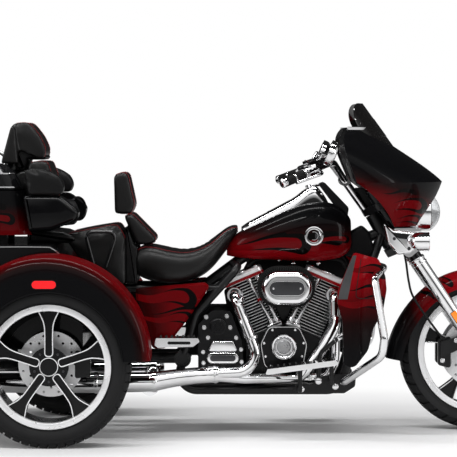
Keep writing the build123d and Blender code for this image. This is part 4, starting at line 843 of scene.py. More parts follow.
class Sculpt:
    """A mesh piece being shaped in millimetres."""

    def __init__(self) -> None:
        """Starts empty."""
        self.bm = bmesh.new()

    def skin(self, rows: Sequence[Sequence[Vector]], around: bool, across: bool) -> list[list[BMVert]]:
        """Covers a grid of points with faces.

        Args:
            rows: the points, row by row.
            around: join the last row to the first.
            across: join each row's end to its start.

        Returns:
            The grid's vertices.
        """
        grid = [[self.bm.verts.new(p) for p in row] for row in rows]
        wide = len(rows[0])
        for i in range(len(grid) if around else len(grid) - 1):
            a, b = grid[i], grid[(i + 1) % len(grid)]
            for j in range(wide if across else wide - 1):
                k = (j + 1) % wide
                self.bm.faces.new((a[j], a[k], b[k], b[j]))
        return grid

    def solid(self, rings: Sequence[Sequence[Vector]]) -> "Sculpt":
        """Covers rings of points in order and closes both ends."""
        grid = self.skin(rings, False, True)
        self.bm.faces.new(grid[0][::-1])
        self.bm.faces.new(grid[-1])
        return self

    def band(self, loop: Sequence[Flat], section: Sequence[Flat], z: float = 0.0) -> "Sculpt":
        """A strip round a level outline; section holds (outwards, upwards) offsets."""
        rows = []
        for (x, y), (grown_x, grown_y) in zip(loop, inset(loop, -1.0)):
            out = Vector((grown_x - x, grown_y - y, 0))
            rows.append([Vector((x, y, z)) + out * p + Vector((0, 0, q)) for p, q in section])
        self.skin(rows, True, True)
        return self

    def lathe(
        self, profile: Sequence[Flat], centre: Sequence[float], axis: Sequence[float],
        closed: bool = True, sides: int = 64,
    ) -> "Sculpt":
        """Turns a profile about an axis.

        Args:
            profile: (radius, distance along the axis).
            centre: where the axis starts.
            axis: its direction.
            closed: join the profile's ends, for a ring.
            sides: spans round the axis.

        Returns:
            Itself.
        """
        along = Vector(axis).normalized()
        out = along.orthogonal().normalized()
        rows = []
        for i in range(sides):
            spin = Matrix.Rotation(2 * pi * i / sides, 3, along)
            rows.append([Vector(centre) + spin @ (out * r) + along * a for r, a in profile])
        self.skin(rows, True, closed)
        return self

    def sweep(
        self, path: Sequence[Sequence[float]], section: Sequence[Flat], up: Sequence[float] | None = None,
        closed: bool = False,
    ) -> "Sculpt":
        """Carries a section along a line.

        Args:
            path: the line's points.
            section: (towards up, across it) offsets.
            up: direction that the section keeps, or None to let it follow the line.
            closed: join the ends.

        Returns:
            Itself.
        """
        line = [Vector(p) for p in path]
        count = len(line)
        rows = []
        lift = Vector(up) if up is not None else None
        for i, here in enumerate(line):
            before = line[i - 1] if closed or i > 0 else here
            after = line[(i + 1) % count] if closed or i + 1 < count else here
            along = (after - before).normalized()
            if lift is None:
                lift = along.orthogonal()
            n = (lift - along * lift.dot(along)).normalized()
            b = along.cross(n)
            rows.append([here + n * p + b * q for p, q in section])
            if up is None:
                lift = n
        if not closed:
            return self.solid(rows)
        self.skin(rows, True, True)
        return self

    def tube(
        self, path: Sequence[Sequence[float]], radius: float, sides: int = 10, closed: bool = False
    ) -> "Sculpt":
        """A round bar along a line."""
        return self.sweep(path, oval(radius, radius, sides), None, closed=closed)

    def plate(
        self, outline: Sequence[Flat], place: Plane, low: float, high: float, edge: float = 0.0
    ) -> "Sculpt":
        """An outline given thickness, with its outer edge rounded.

        Args:
            outline: closed outline in the plane.
            place: the plane.
            low: where it starts along the plane's w.
            high: where it ends.
            edge: radius of the outer edge.

        Returns:
            Itself.
        """
        loops = [(0.0, low), (0.0, high)]
        if edge > 0:
            turns = (0.0, 0.3, 0.6, 0.85, 1.0)
            loops = [(0.0, low)] + [
                (edge * (1 - cos(t * pi / 2)), high - edge * (1 - sin(t * pi / 2))) for t in turns
            ]
        return self.solid([[place.at(u, v, w) for u, v in inset(outline, d)] for d, w in loops])

    def mirrored(self) -> "Sculpt":
        """Adds the left-hand twin of everything so far."""
        twin = bmesh.ops.duplicate(
            self.bm, geom=self.bm.verts[:] + self.bm.edges[:] + self.bm.faces[:],
        )["geom"]
        for v in (g for g in twin if isinstance(g, BMVert)):
            v.co.y = -v.co.y
        return self

    def mesh(self, name: str, sharp: float = CRISP) -> Mesh:
        """Ends the shaping.

        Args:
            name: the mesh's name.
            sharp: edges over this angle stay crisp.

        Returns:
            The mesh, in metres.
        """
        bmesh.ops.remove_doubles(self.bm, verts=self.bm.verts, dist=0.01)
        bmesh.ops.scale(self.bm, vec=(MM, MM, MM), verts=self.bm.verts)
        bmesh.ops.recalc_face_normals(self.bm, faces=self.bm.faces)
        made = bpy.data.meshes.new(name)
        self.bm.to_mesh(made)
        self.bm.free()
        made.shade_smooth()
        made.set_sharp_from_angle(angle=radians(sharp))
        return made


@dataclass(frozen=True)
class Look:
    """What a piece is made of and what it moves with."""

    finish: Material
    body: Body
    slot: Slot


def show(name: str, mesh: Mesh, look: Look | None) -> Object:
    """Puts a mesh in the scene.

    Args:
        name: the piece's name.
        mesh: its mesh, placed in the machine's frame.
        look: its finish and body, or None for a pattern piece.

    Returns:
        The object.
    """
    obj = bpy.data.objects.new(name, mesh)
    bpy.context.scene.collection.objects.link(obj)
    if look is not None:
        mesh.materials.clear()
        mesh.materials.append(look.finish)
        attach(obj, look.body.value)
    return obj


def frozen(obj: Object) -> Mesh:
    """The mesh that an object's modifiers give now."""
    graph = bpy.context.evaluated_depsgraph_get()
    return bpy.data.meshes.new_from_object(obj.evaluated_get(graph))


class Repeater:
    """Geometry Nodes that set copies of one piece on points, each with its own turn and size."""

    HEAD_CRISP = 25.0

    def __init__(self) -> None:
        """Lays the tree out once."""
        tree = bpy.data.node_groups.new("repeat_piece", "GeometryNodeTree")
        face = tree.interface
        face.new_socket("Geometry", in_out="INPUT", socket_type="NodeSocketGeometry")
        self.piece = face.new_socket("Piece", in_out="INPUT", socket_type="NodeSocketObject").identifier
        self.finish = face.new_socket("Finish", in_out="INPUT", socket_type="NodeSocketMaterial").identifier
        face.new_socket("Geometry", in_out="OUTPUT", socket_type="NodeSocketGeometry")
        new, link = tree.nodes.new, tree.links.new
        start, end = new("NodeGroupInput"), new("NodeGroupOutput")
        points, info = new("GeometryNodeMeshToPoints"), new("GeometryNodeObjectInfo")
        copies, real = new("GeometryNodeInstanceOnPoints"), new("GeometryNodeRealizeInstances")
        paint = new("GeometryNodeSetMaterial")
        turn, size = new("GeometryNodeInputNamedAttribute"), new("GeometryNodeInputNamedAttribute")
        turn.data_type, turn.inputs["Name"].default_value = "FLOAT_VECTOR", "turn"
        size.data_type, size.inputs["Name"].default_value = "FLOAT", "size"
        link(start.outputs["Geometry"], points.inputs["Mesh"])
        link(start.outputs["Piece"], info.inputs["Object"])
        link(points.outputs["Points"], copies.inputs["Points"])
        link(info.outputs["Geometry"], copies.inputs["Instance"])
        link(turn.outputs["Attribute"], copies.inputs["Rotation"])
        link(size.outputs["Attribute"], copies.inputs["Scale"])
        link(copies.outputs["Instances"], real.inputs["Geometry"])
        link(real.outputs["Geometry"], paint.inputs["Geometry"])
        link(start.outputs["Finish"], paint.inputs["Material"])
        link(paint.outputs["Geometry"], end.inputs["Geometry"])
        self.tree = tree

    def spread(
        self, name: str, pattern: Sculpt, places: Sequence[tuple[Vector, Euler, float]], look: Look,
        sharp: float = CRISP,
    ) -> Object:
        """Sets a copy of the pattern at each place, as one mesh.

        Args:
            name: the piece's name.
            pattern: one copy, shaped about the origin.
            places: point in millimetres, turn, and size.
            look: finish and body.
            sharp: edges over this angle stay crisp.

        Returns:
            The object.
        """
        piece = show(name + "_pattern", pattern.mesh(name + "_pattern", sharp), None)
        cloud = bpy.data.meshes.new(name + "_points")
        cloud.from_pydata([p * MM for p, _, _ in places], [], [])
        turns = cloud.attributes.new("turn", "FLOAT_VECTOR", "POINT")
        turns.data.foreach_set("vector", [a for _, turn, _ in places for a in turn])
        sizes = cloud.attributes.new("size", "FLOAT", "POINT")
        sizes.data.foreach_set("value", [size for _, _, size in places])
        base = show(name + "_points", cloud, None)
        nodes = base.modifiers.new("repeat", "NODES")
        nodes.node_group = self.tree
        nodes[self.piece] = piece
        nodes[self.finish] = look.finish
        made = frozen(base)
        made.name = name
        base.modifiers.remove(nodes)
        for spare in (piece, base):
            bpy.data.objects.remove(spare)
        return show(name, made, look)

    def bolts(self, name: str, places: Sequence[Place], look: Look) -> Object:
        """Hexagon bolts on washers; each place is a point, the way it faces and a head radius."""
        head = Sculpt().lathe(
            [(0, 0), (1.35, 0), (1.35, 0.18), (1.2, 0.26), (0, 0.26)], (0, 0, 0), (0, 0, 1), closed=False,
            sides=14,
        )
        head.lathe(
            [(0, 0.2), (1, 0.2), (1, 0.85), (0.86, 1.0), (0, 1.0)], (0, 0, 0), (0, 0, 1), closed=False,
            sides=6,
        )
        return self.facing(name, head, places, look)

    def studs(self, name: str, places: Sequence[Place], look: Look) -> Object:
        """Round-headed socket screws; each place is a point, the way it faces and a head radius."""
        head = Sculpt()
        profile = [(1.0, 0), (1.0, 0.45), (0.86, 0.74), (0.5, 0.82), (0.46, 0.4), (0, 0.4)]
        head.lathe(profile, (0, 0, 0), (0, 0, 1), closed=False, sides=12)
        return self.facing(name, head, places, look)

    def facing(self, name: str, head: Sculpt, places: Sequence[Place], look: Look) -> Object:
        """Copies of a head, each turned to face its own way."""
        turned = [(p, Vector(way).to_track_quat("Z", "Y").to_euler(), size) for p, way, size in places]
        return self.spread(name, head, turned, look, self.HEAD_CRISP)


@dataclass
class Kit:
    """What every sub-assembly works with."""

    finishes: Finishes
    repeat: Repeater

    def look(self, finish: str, body: Body = Body.CHASSIS, slot: Slot | None = None) -> Look:
        """A finish by its name, with a body and the finish's usual slot unless another is given."""
        return Look(getattr(self.finishes, finish), body, slot or SLOT_OF[finish])

    def add(
        self, name: str, shape: Sculpt, finish: str, body: Body = Body.CHASSIS, slot: Slot | None = None,
        sharp: float = CRISP,
    ) -> Object:
        """Ends a shape and shows it.

        Args:
            name: the piece's name.
            shape: the shape.
            finish, body, slot: its look.
            sharp: edges over this angle stay crisp.

        Returns:
            The object.
        """
        return show(name, shape.mesh(name, sharp), self.look(finish, body, slot))


# Wheels


@dataclass
class Tread:
    """A tyre's tread: rows of blocks, each row a cut across the tyre as (radius, across) points.

    Attributes:
        rows: the cuts of the blocks of one pitch.
        pitches: how many round the tyre.
        fill: share of a pitch that a block takes.
        skew: degrees that a block lags for each millimetre across.
    """

    rows: list[list[Flat]]
    pitches: int
    fill: float = 0.74
    skew: float = 0.0

    def pattern(self) -> Sculpt:
        """The blocks of one pitch about the axle, which lies along Y."""
        made = Sculpt()
        pitch = 360.0 / self.pitches
        steps = 3
        for index, row in enumerate(self.rows):
            start = pitch * 0.5 * (index % 2)
            rings = []
            for k in range(steps + 1):
                ring = []
                for radius, across in row:
                    turn = radians(start + pitch * self.fill * k / steps + self.skew * abs(across))
                    ring.append(Vector((radius * cos(turn), across, radius * sin(turn))))
                rings.append(ring)
            made.solid(rings)
        return made


@dataclass
class Wheel:
    """One wheel: tyre with its tread, bright lips, spoke edges and hub fittings.

    Attributes:
        name: prefix of its pieces.
        body: the body that it turns with.
        rim, tyre: the solids' names.
        faces: outboard sides that show, RIGHT or LEFT.
        lip: (inner radius, outer radius, distance out) of the rim's lip.
        spoke: (root radius, waist radius, tip radius, half width, half flare, distance out).
        cap: (radius, distance out) of the hub cap's ring.
        bolts: (circle radius, distance out, head radius) of the hub's bolts.
        carcass: tyre profile (radius, across) without its tread.
        tread: the tread's blocks.
        spokes: how many.
    """

    name: str
    body: Body
    rim: str
    tyre: str
    faces: tuple[int, ...]
    lip: Point
    spoke: tuple[float, float, float, float, float, float]
    cap: Flat
    bolts: Point
    carcass: list[Flat]
    tread: Tread
    spokes: int = 5

    def build(self, kit: Kit) -> None:
        """Makes every piece of the wheel."""
        self.centre = middle_of(self.rim)
        self.tyres(kit)
        self.lips(kit)
        self.edges(kit)
        self.hub(kit)

    def turns(self, count: int, start: float = 0.0) -> list[tuple[Vector, Euler, float]]:
        """Places for copies about the axle."""
        return [(self.centre, Euler((0, start + 2 * pi * i / count, 0)), 1.0) for i in range(count)]

    def tyres(self, kit: Kit) -> None:
        """The carcass with its sidewall ridges, and the tread blocks on it."""
        carcass = Sculpt().lathe(self.carcass, self.centre, (0, 1, 0), sides=120)
        made = kit.add(self.name + "_tyre", carcass, "tyre", self.body)
        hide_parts(self.tyre)
        places = self.turns(self.tread.pitches)
        kit.repeat.spread(self.name + "_tread", self.tread.pattern(), places, kit.look("tyre", self.body))

    def lips(self, kit: Kit) -> None:
        """The machined lip round the rim."""
        inner, outer, out = self.lip
        shape = Sculpt()
        profile = [
            (inner - 3, out - 12), (inner - 0.6, out + 0.2), (inner + 2, out + 1.4), (inner + 5, out + 1.8),
            (outer - 5, out + 1.8), (outer - 1, out + 1.2), (outer + 0.4, out - 0.6), (outer, out - 4),
            (inner, out - 4),
        ]
        for side in self.faces:
            shape.lathe(profile, self.centre, (0, side, 0), sides=128)
        kit.add(self.name + "_lip", shape, "machined", self.body)

    def edges(self, kit: Kit) -> None:
        """The machined line round each spoke's edge."""
        root, waist, tip, half, flare, out = self.spoke
        right = [
            (0.0, root), (half * 0.62, root + 2), (half, root + 11), (half, root + 40), (half, waist - 28),
            (half + 1.5, waist + 4), (half + 8, waist + 30), (flare - 2, tip - 3),
        ]
        line = [(-u, v) for u, v in reversed(right[1:])] + right
        path = eased([(u, v, 0.0) for u, v in line], 4)
        section = [(-0.6, -2.0), (0.7, -1.9), (1.1, -1.2), (1.1, 1.2), (0.7, 1.9), (-0.6, 2.0)]
        shape = Sculpt()
        for side in self.faces:
            route = [Vector((p.x, side * out, p.y)) for p in path]
            shape.sweep(route, section, (0, side, 0))
        kit.repeat.spread(
            self.name + "_spoke_edges", shape, self.turns(self.spokes), kit.look("machined", self.body)
        )

    def hub(self, kit: Kit) -> None:
        """Cap ring and bolts."""
        radius, out = self.cap
        ring = [
            (radius - 3.2, out - 2), (radius - 2.6, out + 0.7), (radius, out + 0.9),
            (radius + 0.7, out - 2),
        ]
        shape = Sculpt()
        for side in self.faces:
            shape.lathe(ring, self.centre, (0, side, 0))
        kit.add(self.name + "_cap_ring", shape, "machined", self.body)
        circle, bolt_out, size = self.bolts
        places = []
        for side in self.faces:
            for i in range(self.spokes):
                turn = pi / 2 + 2 * pi * (i + 0.5) / self.spokes
                at = self.centre + Vector((circle * cos(turn), side * bolt_out, circle * sin(turn)))
                places.append((at, Vector((0, side, 0)), size))
        kit.repeat.studs(self.name + "_hub_bolts", places, kit.look("dark_metal", self.body))


def flip(cut: list[Flat]) -> list[Flat]:
    """A cut's mirror image on the tyre's other half."""
    return [(r, -a) for r, a in reversed(cut)]


def rear_wheel(side: int) -> Wheel:
    """A rear wheel: wide square-shouldered tyre."""
    name = "right" if side == RIGHT else "left"
    shoulder = [
        (297, 99.6), (304, 97.6), (310.5, 93), (314.4, 86), (315, 78), (315, 50), (303, 50), (297, 88),
    ]
    row = [(315, 44), (315, 16), (304, 16), (304, 44)]
    rib = [(315, 9), (315, -9), (304, -9), (304, 9)]
    half = [
        (234.6, 78), (234.6, 85), (244, 91.5), (247, 94.5), (249.5, 93.6), (258, 97.6), (268, 101.6),
        (276, 102.4), (283, 101.6), (284.5, 100.2), (292, 99.6), (297, 98.4), (303, 92), (306.5, 82),
        (307, 60),
    ]
    return Wheel(
        name="rear_" + name,
        body=Body.RIGHT_WHEEL if side == RIGHT else Body.LEFT_WHEEL,
        rim="rear_rim_" + name,
        tyre="rear_tyre_" + name,
        faces=(side,),
        lip=(218.0, 241.0, 95.0),
        spoke=(40.0, 150.0, 219.0, 15.0, 42.0, 77.2),
        cap=(36.0, 84.0),
        bolts=(58.0, 71.0, 5.0),
        carcass=half + flip(half),
        tread=Tread([shoulder, flip(shoulder), row, flip(row), rib], pitches=54, fill=0.78),
    )


def front_wheel() -> Wheel:
    """The front wheel: round-crowned tyre with slanting grooves."""
    crown_r, crown_c = 81.25, 240.75

    def arc(first: float, last: float, radius: float, steps: int = 5) -> list[Flat]:
        turns = [radians(first + (last - first) * k / steps) for k in range(steps + 1)]
        return [(crown_c + radius * cos(t), radius * sin(t)) for t in turns]

    def block(first: float, last: float) -> list[Flat]:
        return arc(first, last, crown_r) + arc(last, first, crown_r - 8)

    half = [
        (241.6, 36), (241.6, 43), (251, 49.5), (254, 52), (257, 51.6), (270, 57), (284, 62.6),
        (288, 63.6),
    ]
    crown = arc(52, -52, crown_r - 6, 16)
    blocks = [block(30, 53), block(-30, -53), block(3, 27), block(-3, -27)]
    return Wheel(
        name="front",
        body=Body.FRONT_WHEEL,
        rim="front_rim",
        tyre="front_tyre",
        faces=(RIGHT, LEFT),
        lip=(225.0, 248.0, 52.0),
        spoke=(33.0, 150.0, 226.0, 14.0, 38.0, 22.2),
        cap=(40.0, 64.5),
        bolts=(34.0, 64.0, 4.0),
        carcass=half + crown + flip(half),
        tread=Tread(blocks, pitches=40, fill=0.8, skew=0.09),
    )


# Engine and exhaust


@dataclass
class Engine:
    """Bright fin edges, covers, collars and bolts on the V-twin and its gearbox.

    Attributes:
        crank: (x, z) of the crank.
        half_vee: degrees that each cylinder leans.
        bore_top: top of the top fin, along the bore.
        fin_pitch, fin_thick: spacing and thickness of the fins.
        fin_half: half width of a fin across the machine.
        fin_rows: (first fin, last fin, half length) of the short and long fins.
        cam: (x, z) of the timing cover; cam_face: how far out its face is.
        air: (x, z) of the air cleaner; air_panel: how far out its recessed panel is.
        rocker_half: half sizes of a rocker cover; rocker_top: its top along the bore.
        bolt_inset: from a rocker cover's edges to its bolts.
        tube_r: inner radius of a pushrod tube's collars.
        cam_plate: how far out the timing cover's plate is.
        gearbox_side, gearbox_cover: how far out the gearbox and its end cover are.
    """

    crank: Flat = (197.0, 225.0)
    half_vee: float = 23.0
    bore_top: float = 424.0
    fin_pitch: float = 12.0
    fin_thick: float = 4.5
    fin_half: float = 74.0
    fin_rows: tuple[Point, ...] = ((0, 9, 74.0), (10, 18, 78.0))
    rocker_half: Flat = (100.0, 92.0)
    rocker_top: float = 456.6
    bolt_inset: float = 24.0
    tube_r: float = 6.9
    cam: Flat = (195.0, 352.0)
    cam_plate: float = 162.0
    cam_face: float = 184.0
    air: Flat = (205.0, 595.0)
    air_panel: float = 280.0
    gearbox_side: float = 165.0
    gearbox_cover: float = 182.0

    def build(self, kit: Kit) -> None:
        """Makes every fitting."""
        self.fins(kit)
        self.rockers(kit)
        self.pushrods(kit)
        self.air_cleaner(kit)
        self.timing_cover(kit)
        self.gearbox(kit)
        self.primary(kit)
        self.intake(kit)

    def intake(self, kit: Kit) -> None:
        """The throttle body between the cylinders, and the dark cover behind it."""
        x, z = self.air
        cover = Sculpt()
        outline = arc_corners([(x - 22, z - 150), (x + 6, z - 150), (x + 78, z + 40), (x - 94, z + 40)], 8)
        cover.plate(outline, right_side(0), -60, 40, 6)
        kit.add("intake_cover", cover, "engine")
        profile = [(0, 0), (34, 0), (34, 40), (40, 46), (40, 96), (0, 96)]
        body = Sculpt().lathe(profile, (x - 6, -40, z - 6), TO_RIGHT, closed=False, sides=40)
        kit.add("throttle_body", body, "grey_metal")

    def bore(self, side: int) -> Matrix:
        """Turn of a cylinder: Z up its bore, X across the machine; side is 1 for the front one."""
        lean = radians(self.half_vee) * side
        axes = ((0.0, 1.0, 0.0), (-cos(lean), 0.0, sin(lean)), (sin(lean), 0.0, cos(lean)))
        return Matrix(axes).transposed()

    def fins(self, kit: Kit) -> None:
        """A bright band round the edge of each fin."""
        look = kit.look("machined")
        section = [(-0.4, -1.1), (0.5, -1.0), (0.7, 0.0), (0.5, 1.0), (-0.4, 1.1)]
        for first, last, half_length in self.fin_rows:
            a, b = self.fin_half, half_length
            corners = arc_corners([(a, b), (-a, b), (-a, -b), (a, -b)], 22)
            pattern = Sculpt().band(corners, section)
            places = []
            for side in (1, -1):
                turn = self.bore(side)
                for i in range(int(first), int(last) + 1):
                    along = self.bore_top - self.fin_thick / 2 - i * self.fin_pitch
                    at = Vector((self.crank[0], 0, self.crank[1])) + turn @ Vector((0, 0, along))
                    places.append((at, turn.to_euler(), 1.0))
            kit.repeat.spread(f"fin_edges_{int(half_length)}", pattern, places, look)

    def rockers(self, kit: Kit) -> None:
        """Bolts on the rocker covers and a raised rib along each."""
        places = []
        ribs = Sculpt()
        foot = Vector((self.crank[0], 0, self.crank[1]))
        across, along = (half - self.bolt_inset for half in self.rocker_half)
        for side in (1, -1):
            turn = self.bore(side)
            for u in (-1, 1):
                for v in (-1, 1):
                    spot = Vector((u * across, v * along, self.rocker_top))
                    places.append((foot + turn @ spot, turn @ Vector((0, 0, 1)), 6.5))
            base = foot + turn @ Vector((0, 0, self.rocker_top))
            plane = Plane(tuple(base), *(tuple(turn @ Vector(v)) for v in ((1, 0, 0), (0, 1, 0), (0, 0, 1))))
            ribs.plate(stadium(62, 36), plane, -1, 4, 3)
        kit.repeat.bolts("rocker_bolts", places, kit.look("chrome"))
        kit.add("rocker_ribs", ribs, "chrome")

    def pushrod_lines(self) -> list[tuple[Vector, Vector]]:
        """Foot and top of each pushrod tube."""
        lines = []
        top_y, foot_y, reach = -88.0, -110.0, self.bore_top + 5
        for side in (1, -1):
            lean = radians(self.half_vee)
            for foot_x, across in ((26, 58), (48, 22)):
                top_x = self.crank[0] + side * (reach * sin(lean) - across * cos(lean))
                top_z = self.crank[1] + reach * cos(lean) + across * sin(lean)
                foot_z = self.cam[1] + 91 - (foot_x - 37) * tan(radians(20))
                lines.append((
                    Vector((self.crank[0] + side * foot_x, foot_y, foot_z)), Vector((top_x, top_y, top_z))
                ))
        return lines

    def pushrods(self, kit: Kit) -> None:
        """Red collars, bright clips and feet on the pushrod tubes."""
        collars, clips = Sculpt(), Sculpt()
        for foot, top in self.pushrod_lines():
            along = (top - foot).normalized()
            long = (top - foot).length
            for share, radius, height, shape in (
                (0.03, 12.0, 16, clips), (0.44, 10.2, 5, clips), (0.5, 9.6, 11, collars),
                (0.56, 10.2, 5, clips), (0.9, 11.0, 14, clips),
            ):
                low = share * long
                shape.lathe(collar(self.tube_r, radius, low, low + height, 1.2), foot, along, sides=24)
        kit.add("pushrod_clips", clips, "chrome")
        kit.add("pushrod_collars", collars, "red")
        blocks = Sculpt()
        for side in (1, -1):
            tip = radians(20) * side
            at = (self.crank[0] + side * 37, -94, self.cam[1] + 84)
            plane = Plane(at, (cos(tip), 0, -sin(tip)), (sin(tip), 0, cos(tip)), TO_RIGHT)
            blocks.plate(arc_corners([(-30, -10), (30, -10), (30, 11), (-30, 11)], 4), plane, 0, 30, 4)
        kit.add("tappet_blocks", blocks, "chrome")

    def air_cleaner(self, kit: Kit) -> None:
        """Dark panel with two screws in the cover, and the ribbed filter behind it."""
        plane = right_side(self.air_panel, *self.air)
        panel = Sculpt().plate(stadium(73.5, 30.6), plane, -0.5, 4.0, 1.6)
        kit.add("air_cleaner_panel", panel, "dark_metal")
        rim = Sculpt()
        loop = stadium(71, 28.2, steps=16)
        section = [(-0.5, -0.7), (0.5, -0.7), (0.5, 0.7), (-0.5, 0.7)]
        rim.sweep([plane.at(u, v, 4.4) for u, v in loop], section, TO_RIGHT, closed=True)
        kit.add("air_cleaner_panel_line", rim, "machined")
        way = Vector(TO_RIGHT)
        screws = [(plane.at(u, 0, 3.8), way, 4.6) for u in (-54, 54)]
        kit.repeat.studs("air_cleaner_screws", screws, kit.look("chrome"))
        back = right_side(150, *self.air)
        ring = Sculpt()
        loop = stadium(105, 71, steps=20)
        section = [(-9, -13), (3, -13), (3, 13), (-9, 13)]
        ring.sweep([back.at(u, v, 5) for u, v in loop], section, TO_RIGHT, closed=True)
        kit.add("air_filter", ring, "rubber")
        level = Plane((0, 0, 0), (1, 0, 0), (0, 1, 0), (0, 0, 1))
        rib = Sculpt().plate(slab(2, 13, 1.2, 2), level, -8, 5, 1.4)
        places = []
        fine = [Vector(p) for p in stadium(105, 71, steps=24)]
        spaced = even_points([Vector((p.x, p.y, 0)) for p in fine] + [Vector((*fine[0], 0))], 9.0)
        for here, along in spaced:
            out = Vector((along.y, 0, -along.x))
            turn = Matrix((Vector((along.x, 0, along.y)), Vector(TO_RIGHT), out)).transposed()
            places.append((back.at(here.x, here.y, 5) + out * 1.0, turn.to_euler(), 1.0))
        kit.repeat.spread("air_filter_ribs", rib, places, kit.look("rubber"))

    def timing_cover(self, kit: Kit) -> None:
        """Bright ring, turned centre and bolts of the timing cover."""
        centre = (self.cam[0], -self.cam_face, self.cam[1])
        way = TO_RIGHT
        ring = Sculpt().lathe(
            [(40.2, -14), (40.2, 0.3), (42.4, 1.8), (47.8, 1.8), (50.6, -1), (50.6, -14)], centre, way,
        )
        ring.lathe([(29.6, -5), (29.6, -2.2), (31.8, -2.2), (31.8, -5)], centre, way)
        kit.add("timing_ring", ring, "chrome")
        disc = Sculpt().lathe(
            [(0, 0.4), (15, 0.2), (16, -0.8), (24.6, -0.8), (26.3, -2.2), (26.3, -4.2), (40, -4.2)],
            centre, way, closed=False,
        )
        turned = TurnedFinish("turned_cover", (0.42, 0.42, 0.43), self.cam)
        show("timing_disc", disc.mesh("timing_disc"), Look(turned.make(), Body.CHASSIS, Slot.STEEL))
        face = right_side(self.cam_plate, *self.cam)
        spots = (
            (-46, 68), (46, 68), (-80, 14), (80, 14), (-74, -40), (74, -40), (-52, -80), (0, -82),
            (52, -80),
        )
        bolts = [(face.at(u, v), Vector(way), 5.6) for u, v in spots]
        bolts += [(face.at(u, v, 18), Vector(way), 2.6) for u, v in around((0, 0), 36, 30, 60, 6)]
        kit.repeat.studs("timing_bolts", bolts, kit.look("chrome"))
        seam = Sculpt()
        corners = [(-62, 82), (62, 82), (96, 10), (78, -92), (-78, -92), (-96, 10)]
        outline = arc_corners(corners, [30, 30, 50, 34, 34, 50])
        path = [face.at(u, v, 0.2) for u, v in inset(outline, 3)]
        seam.sweep(path, [(-0.8, -1.4), (0.9, -1.2), (0.9, 1.2), (-0.8, 1.4)], way, closed=True)
        kit.add("timing_edge", seam, "machined")

    def gearbox(self, kit: Kit) -> None:
        """Bright end cover in two parts with a bare dark panel, bolts and the round boss."""
        way = Vector(TO_RIGHT)
        face = right_side(self.gearbox_cover)
        bright = Sculpt()
        upper = arc_corners([(-114, 334), (10, 334), (-10, 377), (-93, 377)], [8, 8, 7, 7])
        bright.plate(upper, face, -3, 7, 5)
        bright.plate(stadium(65, 23, (-52, 307)), face, -3, 5, 4)
        kit.add("gearbox_cover_plates", bright, "chrome")
        panel = Sculpt().plate(stadium(52, 12.5, (-52, 307)), face, 3, 6.4, 1.2)
        kit.add("gearbox_panel", panel, "dark_metal")
        side = right_side(self.gearbox_side)
        spots = (
            (-130, 286), (-132, 330), (-112, 388), (2, 388), (22, 340), (24, 290), (-52, 262),
            (-110, 258), (8, 258), (-128, 430), (-120, 472), (-36, 476), (-22, 430),
        )
        kit.repeat.bolts("gearbox_bolts", [(side.at(u, v), way, 6.4) for u, v in spots], kit.look("chrome"))
        boss = Sculpt()
        centre = side.at(-72, 434, 11)
        boss.lathe(
            [(0, 3), (9, 3), (10, 1), (16, 1), (17, 4), (27, 4), (30, 1), (34.4, 0), (34.4, -8)], centre,
            way, closed=False,
        )
        kit.add("gearbox_boss", boss, "engine")
        case = right_side(100)
        low = ((84, 214), (128, 206), (270, 206), (336, 220), (366, 262), (364, 312), (118, 300))
        kit.repeat.bolts("crankcase_bolts", [(case.at(u, v), way, 6.0) for u, v in low], kit.look("chrome"))

    def primary(self, kit: Kit) -> None:
        """Screws round the left-hand case and its round clutch cover."""
        way = Vector((0, 1, 0))
        face = Plane((0, 196, 0), (1, 0, 0), (0, 0, 1), (0, 1, 0))
        clutch = (-58, 330)
        outer = around((215, 300), 64, -80, 40, 5) + around(clutch, 86, 110, 35, 5) + [(80, 386), (80, 242)]
        places = [(face.at(u, v, -1), way, 5.5) for u, v in outer]
        places += [(face.at(u, v, 10), way, 4.6) for u, v in around(clutch, 60, 90, 72, 5)]
        kit.repeat.studs("primary_screws", places, kit.look("chrome"))
        ring = Sculpt().lathe([(66, 9), (67, 11.6), (70, 11.6), (72.4, 9)], face.at(*clutch), way)
        kit.add("clutch_cover_ring", ring, "chrome")


@dataclass
class Exhaust:
    """Clamps, port flanges and the header's shield on the pipes.

    Attributes:
        bands: (place, direction, pipe radius, half width) of each clamp or seam.
    """

    bands: tuple[tuple[Point, Point, float, float], ...] = (
        ((-84, -221.4, 243.4), (-1, -0.1, -0.05), 34.2, 5),
        ((-326, -249.7, 218.2), (-1, 0, 0), 40.2, 9),
        ((-560, -250, 214), (-1, 0, 0), 40.2, 7),
        ((-1170, -250, 214), (-1, 0, 0), 40.2, 9),
        ((14, -189.6, 540), (0.36, -0.06, -0.93), 22.2, 8),
        ((66, -199.4, 390), (0.36, -0.06, -0.93), 22.2, 6),
        ((401, -124, 470), (0, 0, -1), 22.2, 8),
        ((300, -125, 222), (-1, 0, 0), 22.2, 8),
    )

    def build(self, kit: Kit) -> None:
        """Makes the bands, their screws, the port flanges and the shield."""
        rings = Sculpt()
        screws = []
        for at, way, radius, width in self.bands:
            rings.lathe(collar(radius - 1, radius + 2.2, -width, width, 1.4), at, way, sides=40)
            out = Vector(TO_RIGHT)
            screws.append((Vector(at) + out * (radius + 2), out, 4.0))
        for x in (-4, 400):
            rings.lathe([(22, 0), (34, 0), (34, 8), (30, 11), (22, 11)], (x, -75, 556), TO_RIGHT, sides=40)
        route = [(402, -128, 466), (397, -146, 426), (338, -172, 330), (296, -172, 266), (262, -158, 234)]
        kit.add("header_shield", Sculpt().tube(eased(route, 8), 24, 28), "chrome")
        kit.add("exhaust_bands", rings, "chrome")
        kit.repeat.bolts("exhaust_screws", screws, kit.look("steel"))


# Helpers for trim on curved panels


